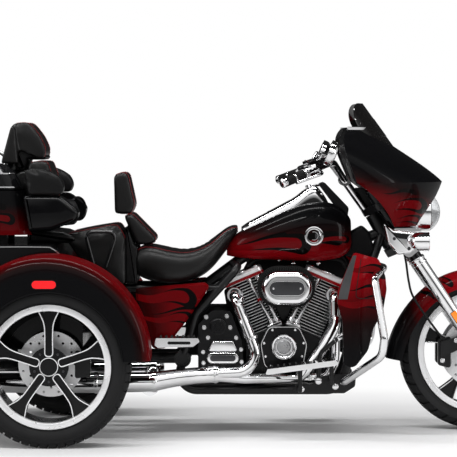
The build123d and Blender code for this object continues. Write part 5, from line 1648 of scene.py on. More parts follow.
class Surface:
    """A solid's skin, for laying trim on it."""

    def __init__(self, obj: Object) -> None:
        """Reads the skin once, in millimetres."""
        mesh = obj.data
        self.tree = BVHTree.FromPolygons(
            [tuple(v.co / MM) for v in mesh.vertices], [tuple(p.vertices) for p in mesh.polygons]
        )

    def from_right(self, x: float, z: float, lift: float = 0.0) -> Vector | None:
        """The point seen from the rider's right at (x, z), raised by lift."""
        hit, normal, _, _ = self.tree.ray_cast(Vector((x, -1200, z)), Vector((0, 1, 0)))
        return None if hit is None else hit + normal * lift

    def nearest(self, at: Sequence[float], lift: float = 0.0) -> tuple[Vector, Vector]:
        """The nearest point of the skin, raised by lift, and the way it faces."""
        hit, normal, _, _ = self.tree.find_nearest(Vector(at))
        return hit + normal * lift, normal


def even_points(path: Sequence[Vector], pitch: float) -> list[tuple[Vector, Vector]]:
    """Points spaced evenly along a line, with the line's direction at each."""
    made = []
    wait = 0.0
    for a, b in zip(path, path[1:]):
        span = (b - a).length
        if span < 1e-6:
            continue
        along = (b - a) / span
        while wait <= span:
            made.append((a + along * wait, along))
            wait += pitch
        wait -= span
    return made


# Bodywork trim


@dataclass
class Bodywork:
    """Badges, bright lines, panel joints and vents on the painted panels.

    Attributes:
        badge_at, badge_r: place and radius of a tank badge.
        lid_lines: (height, rear, front, half width) of each bright line round the lid.
        box_corner: radius of the lid's corners.
        pedal_tip: degrees that the brake pedal's pad is tipped.
        console_line: (x, top, half width) along the tank console.
    """

    badge_at: Point = (316.0, -170.6, 801.0)
    badge_r: float = 40.0
    lid_lines: tuple[tuple[float, float, float, float], ...] = (
        (1000.0, -1292.6, -854.0, 284.6), (1054.0, -1287.0, -880.0, 279.2),
    )
    box_corner: float = 58.0
    pedal_tip: float = 32.0
    console_line: tuple[Point, ...] = (
        (24, 832, 40), (60, 856, 52), (140, 898, 56), (236, 950, 56), (290, 990, 56), (326, 1000, 54),
        (352, 978, 52), (378, 936, 50), (392, 892, 46),
    )

    def build(self, kit: Kit) -> None:
        """Makes every piece of trim."""
        self.badges(kit)
        self.lid_trim(kit)
        self.trunk_trim(kit)
        self.vent(kit)
        self.leg_shields(kit)
        self.fender_beads(kit)
        self.neck(kit)
        self.console(kit)
        self.rear_face(kit)
        self.boards(kit)

    def badges(self, kit: Kit) -> None:
        """A blank round medallion on each side of the tank."""
        way = TO_RIGHT
        r = self.badge_r
        ring = Sculpt()
        ring.lathe(
            [
                (0.6 * r, -3), (0.6 * r, 1), (0.66 * r, 4.4), (0.82 * r, 5.4), (0.95 * r, 4), (r, 0.6),
                (r, -3),
            ],
            self.badge_at, way,
        )
        ring.lathe(
            [(0.36 * r, 1), (0.38 * r, 3.2), (0.45 * r, 3.2), (0.47 * r, 1)], self.badge_at, way,
            sides=48,
        )
        kit.add("tank_badges", ring.mirrored(), "chrome")
        disc = Sculpt().lathe(
            [(0, 2.4), (0.3 * r, 2.2), (0.36 * r, 1.2), (0.62 * r, 1.2), (0.62 * r, -3)], self.badge_at,
            way, closed=False,
        )
        kit.add("tank_badge_discs", disc.mirrored(), "dark_metal")

    def lid_trim(self, kit: Kit) -> None:
        """Two bright lines round the lid."""
        shape = Sculpt()
        section = [(-0.5, -2.2), (1.2, -1.8), (1.6, 0), (1.2, 1.8), (-0.5, 2.2)]
        for z, rear, front, half in self.lid_lines:
            loop = arc_corners(
                [(front, half), (rear, half), (rear, -half), (front, -half)], self.box_corner, 8,
            )
            shape.band(loop, section, z)
        kit.add("lid_lines", shape, "chrome", Body.LID)

    def trunk_trim(self, kit: Kit) -> None:
        """A bright line along the trunk's shoulder above each fender."""
        shape = Sculpt()
        path = eased([(-1286, -440.6, 762), (-980, -440.6, 768), (-760, -440.6, 768), (-722, -440.6, 762),
                      (-684, -440.6, 731), (-642, -440.6, 668)], 5)
        shape.sweep(path, [(-0.8, -2.4), (1.4, -1.8), (1.4, 1.8), (-0.8, 2.4)], TO_RIGHT)
        kit.add("trunk_lines", shape.mirrored(), "chrome")

    def vent(self, kit: Kit) -> None:
        """The bright bar round the top of the fairing, and the dark skirt of the screen above it."""
        count = 24
        half, back, nose, z = 298.0, 446.0, 568.0, 1234.0
        rise = nose - back
        radius = (half * half + rise * rise) / (2 * rise)
        sweep = 2 * atan2(rise, half)
        path = [
            (nose - radius + radius * cos(t), radius * sin(t), z)
            for t in (-sweep + 2 * sweep * k / count for k in range(count + 1))
        ]
        bar = Sculpt().sweep(path, [(-7, -3), (-5, 4), (5, 4), (7, -3), (5, -4), (-5, -4)], (0, 0, 1))
        kit.add("fairing_vent_bar", bar, "chrome", Body.FORK)
        lean, foot, chord, deep = 0.7225, 1164.0, 236.0, 106.0
        ring = (chord * chord + deep * deep) / (2 * deep)
        rows = []
        for low, wide in ((1204.0, 236.0), (1228.0, 232.0), (1252.0, 214.0), (1274.0, 182.0)):
            front = 646.0 - lean * (low - foot)
            turn = asin(wide / ring)
            turns = [-turn + 2 * turn * k / 32 for k in range(33)]
            outer = [Vector((front - ring + (ring + 1.5) * cos(t), ring * sin(t), low)) for t in turns]
            inner = [p - Vector((7.0, 0, 0)) for p in reversed(outer)]
            rows.append(outer + inner)
        kit.add("screen_skirt", Sculpt().solid(rows), "smoke", Body.FORK)

    def leg_shields(self, kit: Kit) -> None:
        """The pocket door's joint and the dark inner panel of each leg shield."""
        skin = Surface(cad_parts["lower_fairings"])
        joint = eased([(498, 716), (489, 660), (480, 600), (478, 572), (488, 560), (530, 557), (590, 556)], 6)
        path = [p for p in (skin.from_right(v.x, v.y, 0.3) for v in (Vector(k) for k in joint)) if p]
        kit.add("pocket_joints", Sculpt().tube(path, 1.6, 6).mirrored(), "rubber")
        rows = []
        for z, x_low, x_high in (
            (730, 462, 484), (690, 446, 474), (640, 428, 462), (590, 412, 452), (556, 406, 444),
        ):
            rows.append([skin.nearest((x_low + (x_high - x_low) * k / 4, -350, z), 1.0)[0] for k in range(5)])
        panel = Sculpt().solid([row + [p + Vector((0, 3, 0)) for p in reversed(row)] for row in rows])
        kit.add("leg_shield_panels", panel.mirrored(), "grey_plastic")

    def fender_beads(self, kit: Kit) -> None:
        """A rolled edge round each rear wheel opening and a gasket under each marker."""
        bead = Sculpt()
        centre, radius = (-721.0, 315.0), 290.0
        path = [
            (centre[0] + radius * cos(t), -690.5, centre[1] + radius * sin(t))
            for t in (radians(5 + 170 * k / 60) for k in range(61))
        ]
        bead.tube(path, 3.2, 8)
        kit.add("fender_beads", bead.mirrored(), "rear_fender")
        gasket = Sculpt()
        plane = right_side(691, -735, 635)
        gasket.plate(stadium(49, 18), plane, -0.5, 1.6, 1.0)
        kit.add("marker_gaskets", gasket.mirrored(), "rubber")

    def neck(self, kit: Kit) -> None:
        """A dark cover at the steering head, a dark sheet behind the engine that paints in the shade and
        far-side parts seen through the gaps, and the lines under the tank.
        """
        cover = Sculpt()
        outline = arc_corners([(440, 716), (520, 690), (574, 724), (548, 812), (520, 838), (452, 800)], 14)
        cover.plate(outline, right_side(0), -52, 52, 12)
        kit.add("neck_cover", cover, "plastic")
        # Painted shade: a black sheet down the middle, so the gaps round the engine show dark, as the shade
        # and the parts beyond them would.
        shade_sheet = Sculpt()
        for corners in (
            [(-24, 430), (-48, 566), (24, 640), (66, 722), (440, 722), (472, 690), (472, 330), (300, 330)],
            [(-206, 300), (-206, 470), (-150, 512), (-20, 512), (10, 300)],
        ):
            shade_sheet.plate(arc_corners(corners, 16), right_side(-44), 0, 20, 6)
        kit.add("engine_backing", shade_sheet, "plastic")
        lines = Sculpt()
        for out, low, radius in ((40, 716, 8.0), (58, 702, 6.0), (52, 726, 5.0)):
            route = [
                (46, -out, low - 30), (100, -out, low), (200, -out - 6, low - 4), (310, -out, low + 2),
                (420, -out, low - 4), (452, -out + 16, low - 40),
            ]
            lines.tube(eased(route, 6), radius, 10)
        kit.add("under_tank_lines", lines, "rubber")
        clips = Sculpt()
        clip = [(0, 10), (5, 9.4), (8, 7), (8.6, 3), (8.6, -8), (0, -8)]
        for x in (84, 132, 178, 236, 292, 338, 402):
            clips.lathe(clip, (x, -62, 712 - 14 * (x % 3)), (0, -1, 0.3), closed=False, sides=20)
        kit.add("under_tank_clips", clips, "chrome")

    def console(self, kit: Kit) -> None:
        """The rounded cover along the tank, its filler cap and the joint of its door."""
        rows = []
        for x, z, half in eased(self.console_line, 5):
            low = z - 64 if x > 60 else z - 46
            arch = []
            for k in range(17):
                turn = pi * k / 16
                out, up = abs(cos(turn)) ** 0.55, abs(sin(turn)) ** 0.55
                arch.append(Vector((x, half * (out if turn < pi / 2 else -out), low + (z - low) * up)))
            rows.append(arch)
        cover = Sculpt().solid(rows)
        made = kit.add("console_cover", cover, "chrome", sharp=50.0)
        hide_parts("tank_console")
        skin = Surface(made)
        at, normal = skin.nearest((318, 0, 1010), 0.0)
        dial = Sculpt().lathe(
            [(0, 1.5), (26, 1.5), (27, 4), (31, 4.4), (33, 2), (33, -4), (0, -4)], at, normal,
            closed=False, sides=48,
        )
        kit.add("filler_cap", dial, "chrome")
        door = Sculpt()
        path = [skin.nearest((x, y, 1010 if x > 240 else 960), 0.2)[0] for x, y in
                arc_corners([(96, -40), (250, -40), (250, 40), (96, 40)], 14, 4)]
        door.tube(path, 1.1, 6, closed=True)
        kit.add("console_door_joint", door, "rubber")

    def rear_face(self, kit: Kit) -> None:
        """Lamp bezels, the door's handle and the bright line round the door."""
        bezel = Sculpt()
        profile = [(36, -2), (36, 9), (38, 10), (42, 7), (43, 0), (43, -2)]
        for y in (-381, 381):
            bezel.lathe(profile, (-1309, y, 640), (-1, 0, 0), sides=48)
        kit.add("tail_lamp_bezels", bezel, "chrome")
        handle = Sculpt()
        face = Plane((-1309, 0, 640), TO_RIGHT, (0, 0, 1), (-1, 0, 0))
        handle.plate(stadium(70, 14), face, -1, 7, 5)
        kit.add("door_handle", handle, "chrome", Body.DOOR)
        joint = Sculpt()
        frame_line = arc_corners([(-302, -228), (302, -228), (302, 32), (-302, 32)], [6, 6, 34, 34])
        section = [(-0.8, -1.6), (1, -1.2), (1, 1.2), (-0.8, 1.6)]
        joint.sweep([face.at(u, v, 0.2) for u, v in frame_line], section, (-1, 0, 0), closed=True)
        kit.add("door_line", joint, "chrome", Body.DOOR)

    def boards(self, kit: Kit) -> None:
        """Treads and edge slots of the footboards, caps of their brackets and the brake pedal's pad."""
        treads, slots = Sculpt(), Sculpt()
        rib = slab(46, 4, 3, 3)
        slope = atan2(36, 272)
        for k in range(11):
            x = 146 + 24 * k
            z = 276 + (x - 126) * tan(slope)
            plane = Plane((x, -273, z), TO_RIGHT, (cos(slope), 0, sin(slope)), (-sin(slope), 0, cos(slope)))
            treads.plate(rib, plane, -1, 5, 2)
        for k in range(7):
            plane = Plane((-300 + 22 * k, -273, 400), TO_RIGHT, (1, 0, 0), (0, 0, 1))
            treads.plate(rib, plane, -1, 5, 2)
        kit.add("board_treads", treads.mirrored(), "rubber")
        slots.plate(stadium(46, 6, (-226, 381)), right_side(330), -2, 0.7, 0.5)
        kit.add("board_slots", slots.mirrored(), "rubber")
        caps = Sculpt()
        dome = [(0, 5), (9, 4.6), (13, 2.4), (14.5, 0), (14.5, -3), (0, -3)]
        for x, z, out in ((334, 216, 200), (404, 190, 159), (266, 179, 159)):
            caps.lathe(dome, (x, -out, z), TO_RIGHT, closed=False, sides=32)
        kit.add("bracket_caps", caps.mirrored(), "chrome")
        pad = Sculpt()
        tip = radians(self.pedal_tip)
        plane = Plane((424, -264, 404), (cos(tip), 0, sin(tip)), (0, 1, 0), (-sin(tip), 0, cos(tip)))
        pad.plate(stadium(36, 24), plane, -8.4, 9, 5)
        kit.add("brake_pad", pad, "chrome")


# Front end


@dataclass
class FrontEnd:
    """Lamps, reflectors, hose and axle fittings that steer with the fork.

    Attributes:
        lamp, lamp_r: place and radius of the headlamp.
        lamp_back, lamp_front: its ends along X from there; lamp_bulge: how far its lens stands out.
        passing, passing_r, passing_long: place, radius and length of a passing lamp.
        fork_y: from the centre plane to a fork leg; slider_r: radius of a slider.
        fork_angle: degrees that the legs lean; axle: (x, z) of the front axle.
    """

    lamp: Point = (760.0, 0.0, 892.0)
    lamp_r: float = 78.0
    lamp_back: float = -80.0
    lamp_front: float = 34.0
    lamp_bulge: float = 46.0
    passing: Point = (736.0, 214.0, 780.0)
    passing_r: float = 38.0
    passing_long: float = 42.0
    fork_y: float = 112.0
    slider_r: float = 29.0
    fork_angle: float = 34.0
    axle: Flat = (995.0, 322.0)

    def build(self, kit: Kit) -> None:
        """Makes every fitting."""
        self.headlamp(kit)
        self.passing_lamps(kit)
        self.wings(kit)
        self.reflectors(kit)
        self.legs(kit)

    def headlamp(self, kit: Kit) -> None:
        """Chrome bucket and bezel, reflector, divider and clear domed lens."""
        way = (1, 0, 0)
        r, front = self.lamp_r, self.lamp_front
        bucket = Sculpt().lathe(
            [
                (0, self.lamp_back), (r - 6, self.lamp_back), (r, self.lamp_back + 6), (r, front - 4),
                (r - 1, front + 3), (r - 5, front + 6), (r - 8, front + 3), (r - 9, front - 6),
                (0.86 * r, 4), (0.6 * r, -22), (0.25 * r, -36), (0, -38),
            ],
            self.lamp, way, closed=False, sides=72,
        )
        made = kit.add("headlamp_bucket", bucket, "chrome", Body.FORK)
        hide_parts("headlamps")
        dome_r = (r**2 + self.lamp_bulge**2) / (2 * self.lamp_bulge)
        tip = front + self.lamp_bulge
        steps = [k / 10 for k in range(11)]
        edge = atan2(r - 8, dome_r - self.lamp_bulge)
        outer = [(dome_r * sin(edge * t), tip - dome_r + dome_r * cos(edge * t)) for t in steps]
        inner = [(0.965 * a, b - 3.0) for a, b in reversed(outer)]
        lens = Sculpt().lathe(outer + inner, self.lamp, way, closed=False, sides=72)
        kit.add("headlamp_lens", lens, "clear", Body.FORK)
        divider = Sculpt()
        across = Plane((770, 0, 892), (0, 1, 0), (0, 0, 1), (1, 0, 0))
        divider.plate(slab(60, 3, 2.4, 3), across, -6, 18, 2)
        divider.plate(slab(3, 52, 2.4, 3), across, -6, 14, 2)
        kit.add("headlamp_divider", divider, "plastic", Body.FORK)
        bulbs = Sculpt()
        for y in (-30, 30):
            for z in (-24, 24):
                bulbs.lathe(
                    [(0, 16), (9, 14), (14, 6), (15, -8), (0, -8)], (764, y, 892 + z), way, closed=False,
                    sides=24,
                )
        kit.add("headlamp_bulbs", bulbs, "mirror", Body.FORK, slot=Slot.LENS)

    def passing_lamps(self, kit: Kit) -> None:
        """Bullet shells with a bezel and a clear lens."""
        x, y, z = self.passing
        way = (1, 0, 0)
        r, front = self.passing_r, self.passing_long
        steps = [k / 10 for k in range(11)]
        back = [(r * sin(pi / 2 * t), -r * cos(pi / 2 * t)) for t in steps]
        shell = back + [
            (r, front - 8), (r + 0.6, front - 6), (r + 0.6, front - 2), (r - 2, front),
            (r - 4, front - 3), (0.7 * r, front - 18), (0, front - 28),
        ]
        shells, lenses = Sculpt(), Sculpt()
        shells.lathe(shell, (x, -y, z), way, closed=False, sides=48)
        glass = [
            (0, front + 0.5), (0.5 * r, front - 1), (r - 4, front - 4), (r - 4, front - 6.5),
            (0.5 * r, front - 4), (0, front - 2.5),
        ]
        lenses.lathe(glass, (x, -y, z), way, closed=False, sides=48)
        kit.add("passing_lamp_shells", shells.mirrored(), "chrome", Body.FORK)
        kit.add("passing_lamp_lenses", lenses.mirrored(), "clear", Body.FORK)

    def wings(self, kit: Kit) -> None:
        """Bright wing plates on both sides of the nacelle."""
        outline = [(592, 864), (640, 826), (744, 816), (768, 780), (703, 730), (655, 724), (614, 768)]
        wing = Sculpt().plate(
            arc_corners(outline, [8, 14, 10, 14, 10, 10, 30], 6), right_side(140), 0, 36, 12,
        )
        kit.add("nacelle_wings", wing.mirrored(), "chrome", Body.FORK)
        spots = [
            (Vector((x, -176, z)), Vector(TO_RIGHT), 7.0)
            for x, z in ((640, 790), (700, 750), (726, 796))
        ]
        kit.repeat.studs("wing_screws", both_sides(spots), kit.look("dark_metal", Body.FORK))

    def reflectors(self, kit: Kit) -> None:
        """Amber reflectors on the fork legs."""
        lean = radians(self.fork_angle)
        z = 470.0
        x = self.axle[0] - (z - self.axle[1]) * tan(lean)
        along = (-sin(lean), 0, cos(lean))
        plane = Plane((x, -self.fork_y - self.slider_r, z), (cos(lean), 0, sin(lean)), along, TO_RIGHT)
        base, lens = Sculpt(), Sculpt()
        base.plate(slab(14, 27, 6), plane, -8, 3, 1)
        lens.plate(slab(12, 25, 5), plane, 2.5, 7, 2)
        kit.add("reflector_bases", base.mirrored(), "plastic", Body.FORK)
        kit.add("reflector_lenses", lens.mirrored(), "amber", Body.FORK)

    def legs(self, kit: Kit) -> None:
        """Slider seals, axle nuts, caliper bolts and the front brake hose."""
        lean = radians(self.fork_angle)
        along = Vector((-sin(lean), 0, cos(lean)))
        top = Vector((self.axle[0] - (705 - self.axle[1]) * tan(lean), -self.fork_y, 705))
        rings = Sculpt()
        r = self.slider_r
        for below, tall in ((8, 12), (24, 4)):
            rings.lathe(collar(r - 1, r + 3, 0, tall, 2), top - along * below, along, sides=40)
        kit.add("slider_rings", rings.mirrored(), "chrome", Body.FORK)
        way = Vector(TO_RIGHT)
        x, z = self.axle
        bolts = [(Vector((x, -159, z)), way, 12.0)]
        bolts += [(Vector((x - 150, -78, z + dz)), way, 7.0) for dz in (-34, 34)]
        bolts += [(Vector((x - 96, -102, z + 50)), way, 7.0), (Vector((x - 70, -102, z + 36)), way, 7.0)]
        kit.repeat.bolts("fork_bolts", both_sides(bolts), kit.look("chrome", Body.FORK))
        hose = Sculpt()
        route = [
            (680, -146, 742), (690, -152, 690), (700, -152, 620), (716, -148, 560), (760, -142, 490),
            (812, -122, 420), (846, -100, 376),
        ]
        hose.tube(eased(route, 8), 4.6, 10)
        kit.add("brake_hose", hose, "rubber", Body.FORK)


# Cockpit


@dataclass
class Cockpit:
    """Instruments, speakers, grips, mirrors and switches.

    Attributes:
        bar_end, bar_knee: the right grip's end and the bar's bend ahead of it.
        grip_r, grip_long: radius and length of a grip.
        mirror_at: middle of the right mirror's glass.
        panel_at: middle of the instrument panel.
    """

    bar_end: Point = (186.0, -404.0, 1018.0)
    bar_knee: Point = (392.0, -214.0, 1100.0)
    grip_r: float = 17.5
    grip_long: float = 128.0
    mirror_at: Point = (362.0, -424.0, 1140.0)
    panel_at: Point = (461.0, 0.0, 1095.0)

    def build(self, kit: Kit) -> None:
        """Makes every fitting."""
        self.grips(kit)
        self.mirrors(kit)
        self.instruments(kit)
        self.switches(kit)

    def bar(self) -> tuple[Vector, Vector]:
        """The right grip's end and its direction inwards."""
        end = Vector(self.bar_end)
        return end, (Vector(self.bar_knee) - end).normalized()

    def grips(self, kit: Kit) -> None:
        """Rubber ribs between bright rings, with a bright end."""
        end, along = self.bar()
        r = self.grip_r
        ribs, rings = Sculpt(), Sculpt()
        for start, stop in ((16, 58), (70, 116)):
            low = float(start)
            while low < stop:
                heights = ((-1, 0), (1.3, 0.4), (1.6, 2), (1.3, 3.6), (-1, 4))
                ribs.lathe([(r + grow, low + step) for grow, step in heights], end, along, sides=32)
                low += 5.5
        for low, high, grow in ((-4, 12, 1.6), (60, 67, 2.0), (118, 128, 2.4)):
            rings.lathe(collar(r - 1, r + grow, low, high, 1.4), end, along, sides=40)
        rings.lathe(
            [(0, -9), (8, -8.6), (14, -7), (r, -4.2), (r, -3), (0, -3)], end, along, closed=False,
            sides=40,
        )
        kit.add("grip_ribs", ribs.mirrored(), "rubber", Body.FORK)
        kit.add("grip_rings", rings.mirrored(), "chrome", Body.FORK)

    def mirrors(self, kit: Kit) -> None:
        """Glass and domed backs of the mirrors."""
        normal, down = Vector((-0.92, 0, 0.39)).normalized(), Vector((-0.39, 0, -0.92)).normalized()
        face = Plane(self.mirror_at, (0, 1, 0), tuple(down), tuple(normal))
        glass = Sculpt().plate(oval(73, 45), face, -0.5, 1.0, 0.6)
        kit.add("mirror_glasses", glass.mirrored(), "mirror", Body.FORK)
        shell = Sculpt()
        back = Plane(tuple(Vector(self.mirror_at) - normal * 14), (0, 1, 0), tuple(down), tuple(-normal))
        shell.plate(oval(80, 52), back, 0, 18, 17)
        kit.add("mirror_backs", shell.mirrored(), "chrome", Body.FORK)

    def instruments(self, kit: Kit) -> None:
        """Dials, a screen and two speakers on the panel behind the fairing."""
        up, out = Vector((-0.324, 0, 0.946)), Vector((-0.946, 0, -0.324))
        panel = Plane(self.panel_at, TO_RIGHT, tuple(up), tuple(out))
        bezels, rims, faces, grilles = Sculpt(), Sculpt(), Sculpt(), Sculpt()
        for u, v, r in (
            (-62, 34, 44), (62, 34, 44), (-140, 44, 24), (140, 44, 24), (-262, -20, 64), (262, -20, 64),
        ):
            ring, target = (rims, grilles) if r > 60 else (bezels, faces)
            ring.lathe([(r, -6), (r, 5), (r + 3, 7), (r + 6, 5), (r + 7, -6)], panel.at(u, v), out, sides=48)
            target.lathe(
                [(0, 2.6), (0.94 * r, 2.2), (r, 1), (r, -6), (0, -6)], panel.at(u, v), out, closed=False,
                sides=48,
            )
        faces.plate(arc_corners([(-92, -78), (92, -78), (92, -18), (-92, -18)], 8), panel, -4, 3, 1.5)
        kit.add("dial_bezels", bezels, "satin", Body.FORK)
        kit.add("speaker_rims", rims, "plastic", Body.FORK)
        kit.add("dial_faces", faces, "plastic", Body.FORK)
        kit.add("speaker_grilles", grilles, "grille", Body.FORK)
        needles = Sculpt()
        for u, v, r, turn in ((-62, 34, 40, 2.4), (62, 34, 40, 2.2), (-140, 44, 21, 2.0), (140, 44, 21, 1.0)):
            tip = panel.at(u + r * 0.8 * cos(turn), v + r * 0.8 * sin(turn), 3.4)
            needles.tube([panel.at(u, v, 3.4), tip], 0.9, 6)
        kit.add("dial_needles", needles, "red", Body.FORK)

    def switches(self, kit: Kit) -> None:
        """Buttons on the hand controls and the screws of the fluid tanks."""
        end, along = self.bar()
        middle = end + along * (self.grip_long + 32)
        rear = Vector((-along.y, along.x, 0)).normalized()
        rear = rear if rear.x < 0 else -rear
        up = along.cross(rear)
        up = up if up.z > 0 else -up
        face = Plane(tuple(middle), tuple(along), tuple(up), tuple(rear))
        keys = Sculpt()
        for u, v, wide in ((-14, 6, 8), (4, 6, 7), (-6, -9, 11)):
            key = [(u - wide, v - 5), (u + wide, v - 5), (u + wide, v + 5), (u - wide, v + 5)]
            keys.plate(arc_corners(key, 2, 3), face, 20, 28, 2)
        kit.add("switch_keys", keys.mirrored(), "plastic", Body.FORK)
        tank = Vector((end + along * (self.grip_long + 40)))
        top = tank + Vector((18, 4, 30))
        turn = Euler((0, radians(-18), radians(42))).to_matrix()
        caps = []
        for u, v in ((-22, -13), (22, -13), (-22, 13), (22, 13)):
            at = top + turn @ Vector((u, v, 13))
            way = turn @ Vector((0, 0, 1))
            caps.append((at, way, 3.2))
            caps.append((Vector((at.x, -at.y, at.z)), Vector((way.x, -way.y, way.z)), 3.2))
        kit.repeat.studs("fluid_tank_screws", caps, kit.look("dark_metal", Body.FORK))


# Upholstery


@dataclass
class Cushion:
    """One padded piece made from a solid, sewn at its seams and blown up by a cloth simulation.

    Attributes:
        name: the piece's name.
        node: the solid that it stands for, if it is the first that does.
        body: what it moves with.
        base: direction of the board at its back, where the cover is fixed.
        widths: half width of the piece at places along X, for seams that follow its edge.
        seam: seams as a share of that half width, none if zero.
        finish: name of the cover's finish.
        fill: how firm it is; not used.
        swell: how far the solid is drawn in before it is blown up.
        cap: the furthest that the cover may move.
        voxel: size of the even skin's cells.
        stitched: lowest height at which stitches show.
        rounds: how often the edges are smoothed.
        frames: how long the simulation runs.
        stitch_pitch: spacing of the stitches.
    """

    name: str
    node: str
    body: Body
    base: Point
    widths: tuple[Flat, ...]
    seam: float = 0.86
    finish: str = "hide"
    fill: float = 0.6
    swell: float = 6.0
    cap: float = 12.0
    voxel: float = 6.0
    stitched: float = 0.0
    rounds: int = 9
    frames: int = 20
    stitch_pitch: float = 7.0

    def half(self, x: float) -> float:
        """Half width at a place along the machine."""
        if x <= self.widths[0][0]:
            return self.widths[0][1]
        for (x0, w0), (x1, w1) in zip(self.widths, self.widths[1:]):
            if x <= x1:
                return w0 + (w1 - w0) * (x - x0) / (x1 - x0)
        return self.widths[-1][1]

    def build(self, kit: Kit, solids: list[BMesh]) -> None:
        """Makes the cushion and its stitches.

        Args:
            kit: finishes and repeater.
            solids: the closed shapes that make it up, in metres.
        """
        made = bmesh.new()
        for solid in solids:
            part = self.pad(solid)
            made.from_mesh(part)
            bpy.data.meshes.remove(part)
        mesh = bpy.data.meshes.new(self.name)
        made.to_mesh(mesh)
        made.free()
        mesh.shade_smooth()
        obj = show(self.name, mesh, kit.look(self.finish, self.body))
        if self.node:
            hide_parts(self.node)
        if self.seam:
            self.stitches(kit, mesh)

    def pad(self, solid: BMesh) -> Mesh:
        """One closed shape turned into an even skin, blown up and smoothed."""
        mesh = bpy.data.meshes.new(self.name + "_raw")
        solid.to_mesh(mesh)
        solid.free()
        obj = show(self.name + "_raw", mesh, None)
        skin = obj.modifiers.new("skin", "REMESH")
        skin.mode, skin.voxel_size = "VOXEL", self.voxel * MM
        even = frozen(obj)
        obj.modifiers.remove(skin)
        obj.data = even
        self.soften(even)
        self.inflate(obj)
        finer = obj.modifiers.new("finer", "SUBSURF")
        finer.levels = finer.render_levels = 1
        done = frozen(obj)
        bpy.data.objects.remove(obj)
        return done

    def soften(self, mesh: Mesh) -> None:
        """Rounds the edges and draws the skin in."""
        bm = bmesh.new()
        bm.from_mesh(mesh)
        for _ in range(self.rounds):
            bmesh.ops.smooth_vert(
                bm, verts=bm.verts, factor=0.5, use_axis_x=True, use_axis_y=True, use_axis_z=True,
            )
        bm.normal_update()
        moves = [v.normal * (self.swell * 0.5 * MM) for v in bm.verts]
        for v, move in zip(bm.verts, moves):
            v.co -= move
        bm.to_mesh(mesh)
        bm.free()

    def inflate(self, obj: Object) -> None:
        """Blows the skin up like a stuffed cover held at its seams and its board."""
        mesh = obj.data
        start = [v.co.copy() for v in mesh.vertices]
        away = Vector(self.base).normalized()
        pins = obj.vertex_groups.new(name="pins")
        for v in mesh.vertices:
            share = abs(v.co.y) / MM / self.half(v.co.x / MM)
            seam = self.seam and abs(share - self.seam) * self.half(v.co.x / MM) < 0.75 * self.voxel
            if seam or v.normal.dot(away) > 0.75:
                pins.add([v.index], 1.0, "REPLACE")
        cloth = obj.modifiers.new("stuffing", "CLOTH")
        cover = cloth.settings
        cover.quality, cover.mass = 5, 0.3
        cover.tension_stiffness = cover.compression_stiffness = 20.0
        cover.shear_stiffness, cover.bending_stiffness = 8.0, 1.0
        cover.use_pressure, cover.uniform_pressure_force = True, 4.0
        cover.effector_weights.gravity = 0.0
        cover.vertex_group_mass = "pins"
        cloth.point_cache.frame_start, cloth.point_cache.frame_end = 1, self.frames
        scene = bpy.context.scene
        for step in range(1, self.frames + 1):
            scene.frame_set(step)
        blown = frozen(obj)
        obj.modifiers.remove(cloth)
        moved = 0.0
        for v, old, new in zip(mesh.vertices, start, (b.co for b in blown.vertices)):
            step = new - old
            limit = self.cap * MM
            v.co = old + (step if step.length <= limit else step.normalized() * limit)
            moved = max(moved, step.length / MM)
        bpy.data.meshes.remove(blown)
        scene.frame_set(1)
        log.info("%s: cover moved %.1f mm", self.name, moved)

    def stitches(self, kit: Kit, mesh: Mesh) -> None:
        """Red thread along the seams."""
        places = []
        for side in (RIGHT, LEFT):
            for line in self.seam_lines(mesh, side):
                path = [p for p, _ in line]
                for here, along in even_points(path, self.stitch_pitch):
                    normal = min(line, key=lambda pair: (pair[0] - here).length_squared)[1]
                    if here.z < self.stitched or normal.dot(Vector(self.base)) > 0.35:
                        continue
                    across = normal.cross(along).normalized()
                    turn = Matrix((along, across, normal)).transposed()
                    places.append((here + normal * 0.3, turn.to_euler(), 1.0))
        if not places:
            return
        thread = Sculpt().tube([(-2.4, 0, -0.4), (-1.6, 0, 0.6), (1.6, 0, 0.6), (2.4, 0, -0.4)], 0.9, 6)
        kit.repeat.spread(self.name + "_thread", thread, places, kit.look("thread", self.body))

    def seam_lines(self, mesh: Mesh, side: int) -> list[list[tuple[Vector, Vector]]]:
        """The seam's lines on one side, each as points with the way the cover faces there."""
        bm = bmesh.new()
        bm.from_mesh(mesh)
        bm.normal_update()
        for v in bm.verts:
            v.co.y /= self.half(v.co.x / MM) * MM
        cut = bmesh.ops.bisect_plane(
            bm, geom=bm.verts[:] + bm.edges[:] + bm.faces[:], plane_co=(0, side * self.seam, 0),
            plane_no=(0, 1, 0),
        )["geom_cut"]
        for v in bm.verts:
            v.co.y *= self.half(v.co.x / MM) * MM
        bm.normal_update()
        edges = dict.fromkeys(e for e in cut if isinstance(e, BMEdge))
        lines = []
        while edges:
            first = next(iter(edges))
            del edges[first]
            chain = [first.verts[0], first.verts[1]]
            for grow in (chain, None):
                if grow is None:
                    chain.reverse()
                while True:
                    ahead = next((e for e in chain[-1].link_edges if e in edges), None)
                    if ahead is None:
                        break
                    del edges[ahead]
                    chain.append(ahead.other_vert(chain[-1]))
            lines.append([(v.co / MM, v.normal.copy()) for v in chain])
        bm.free()
        return [line for line in lines if len(line) > 6]


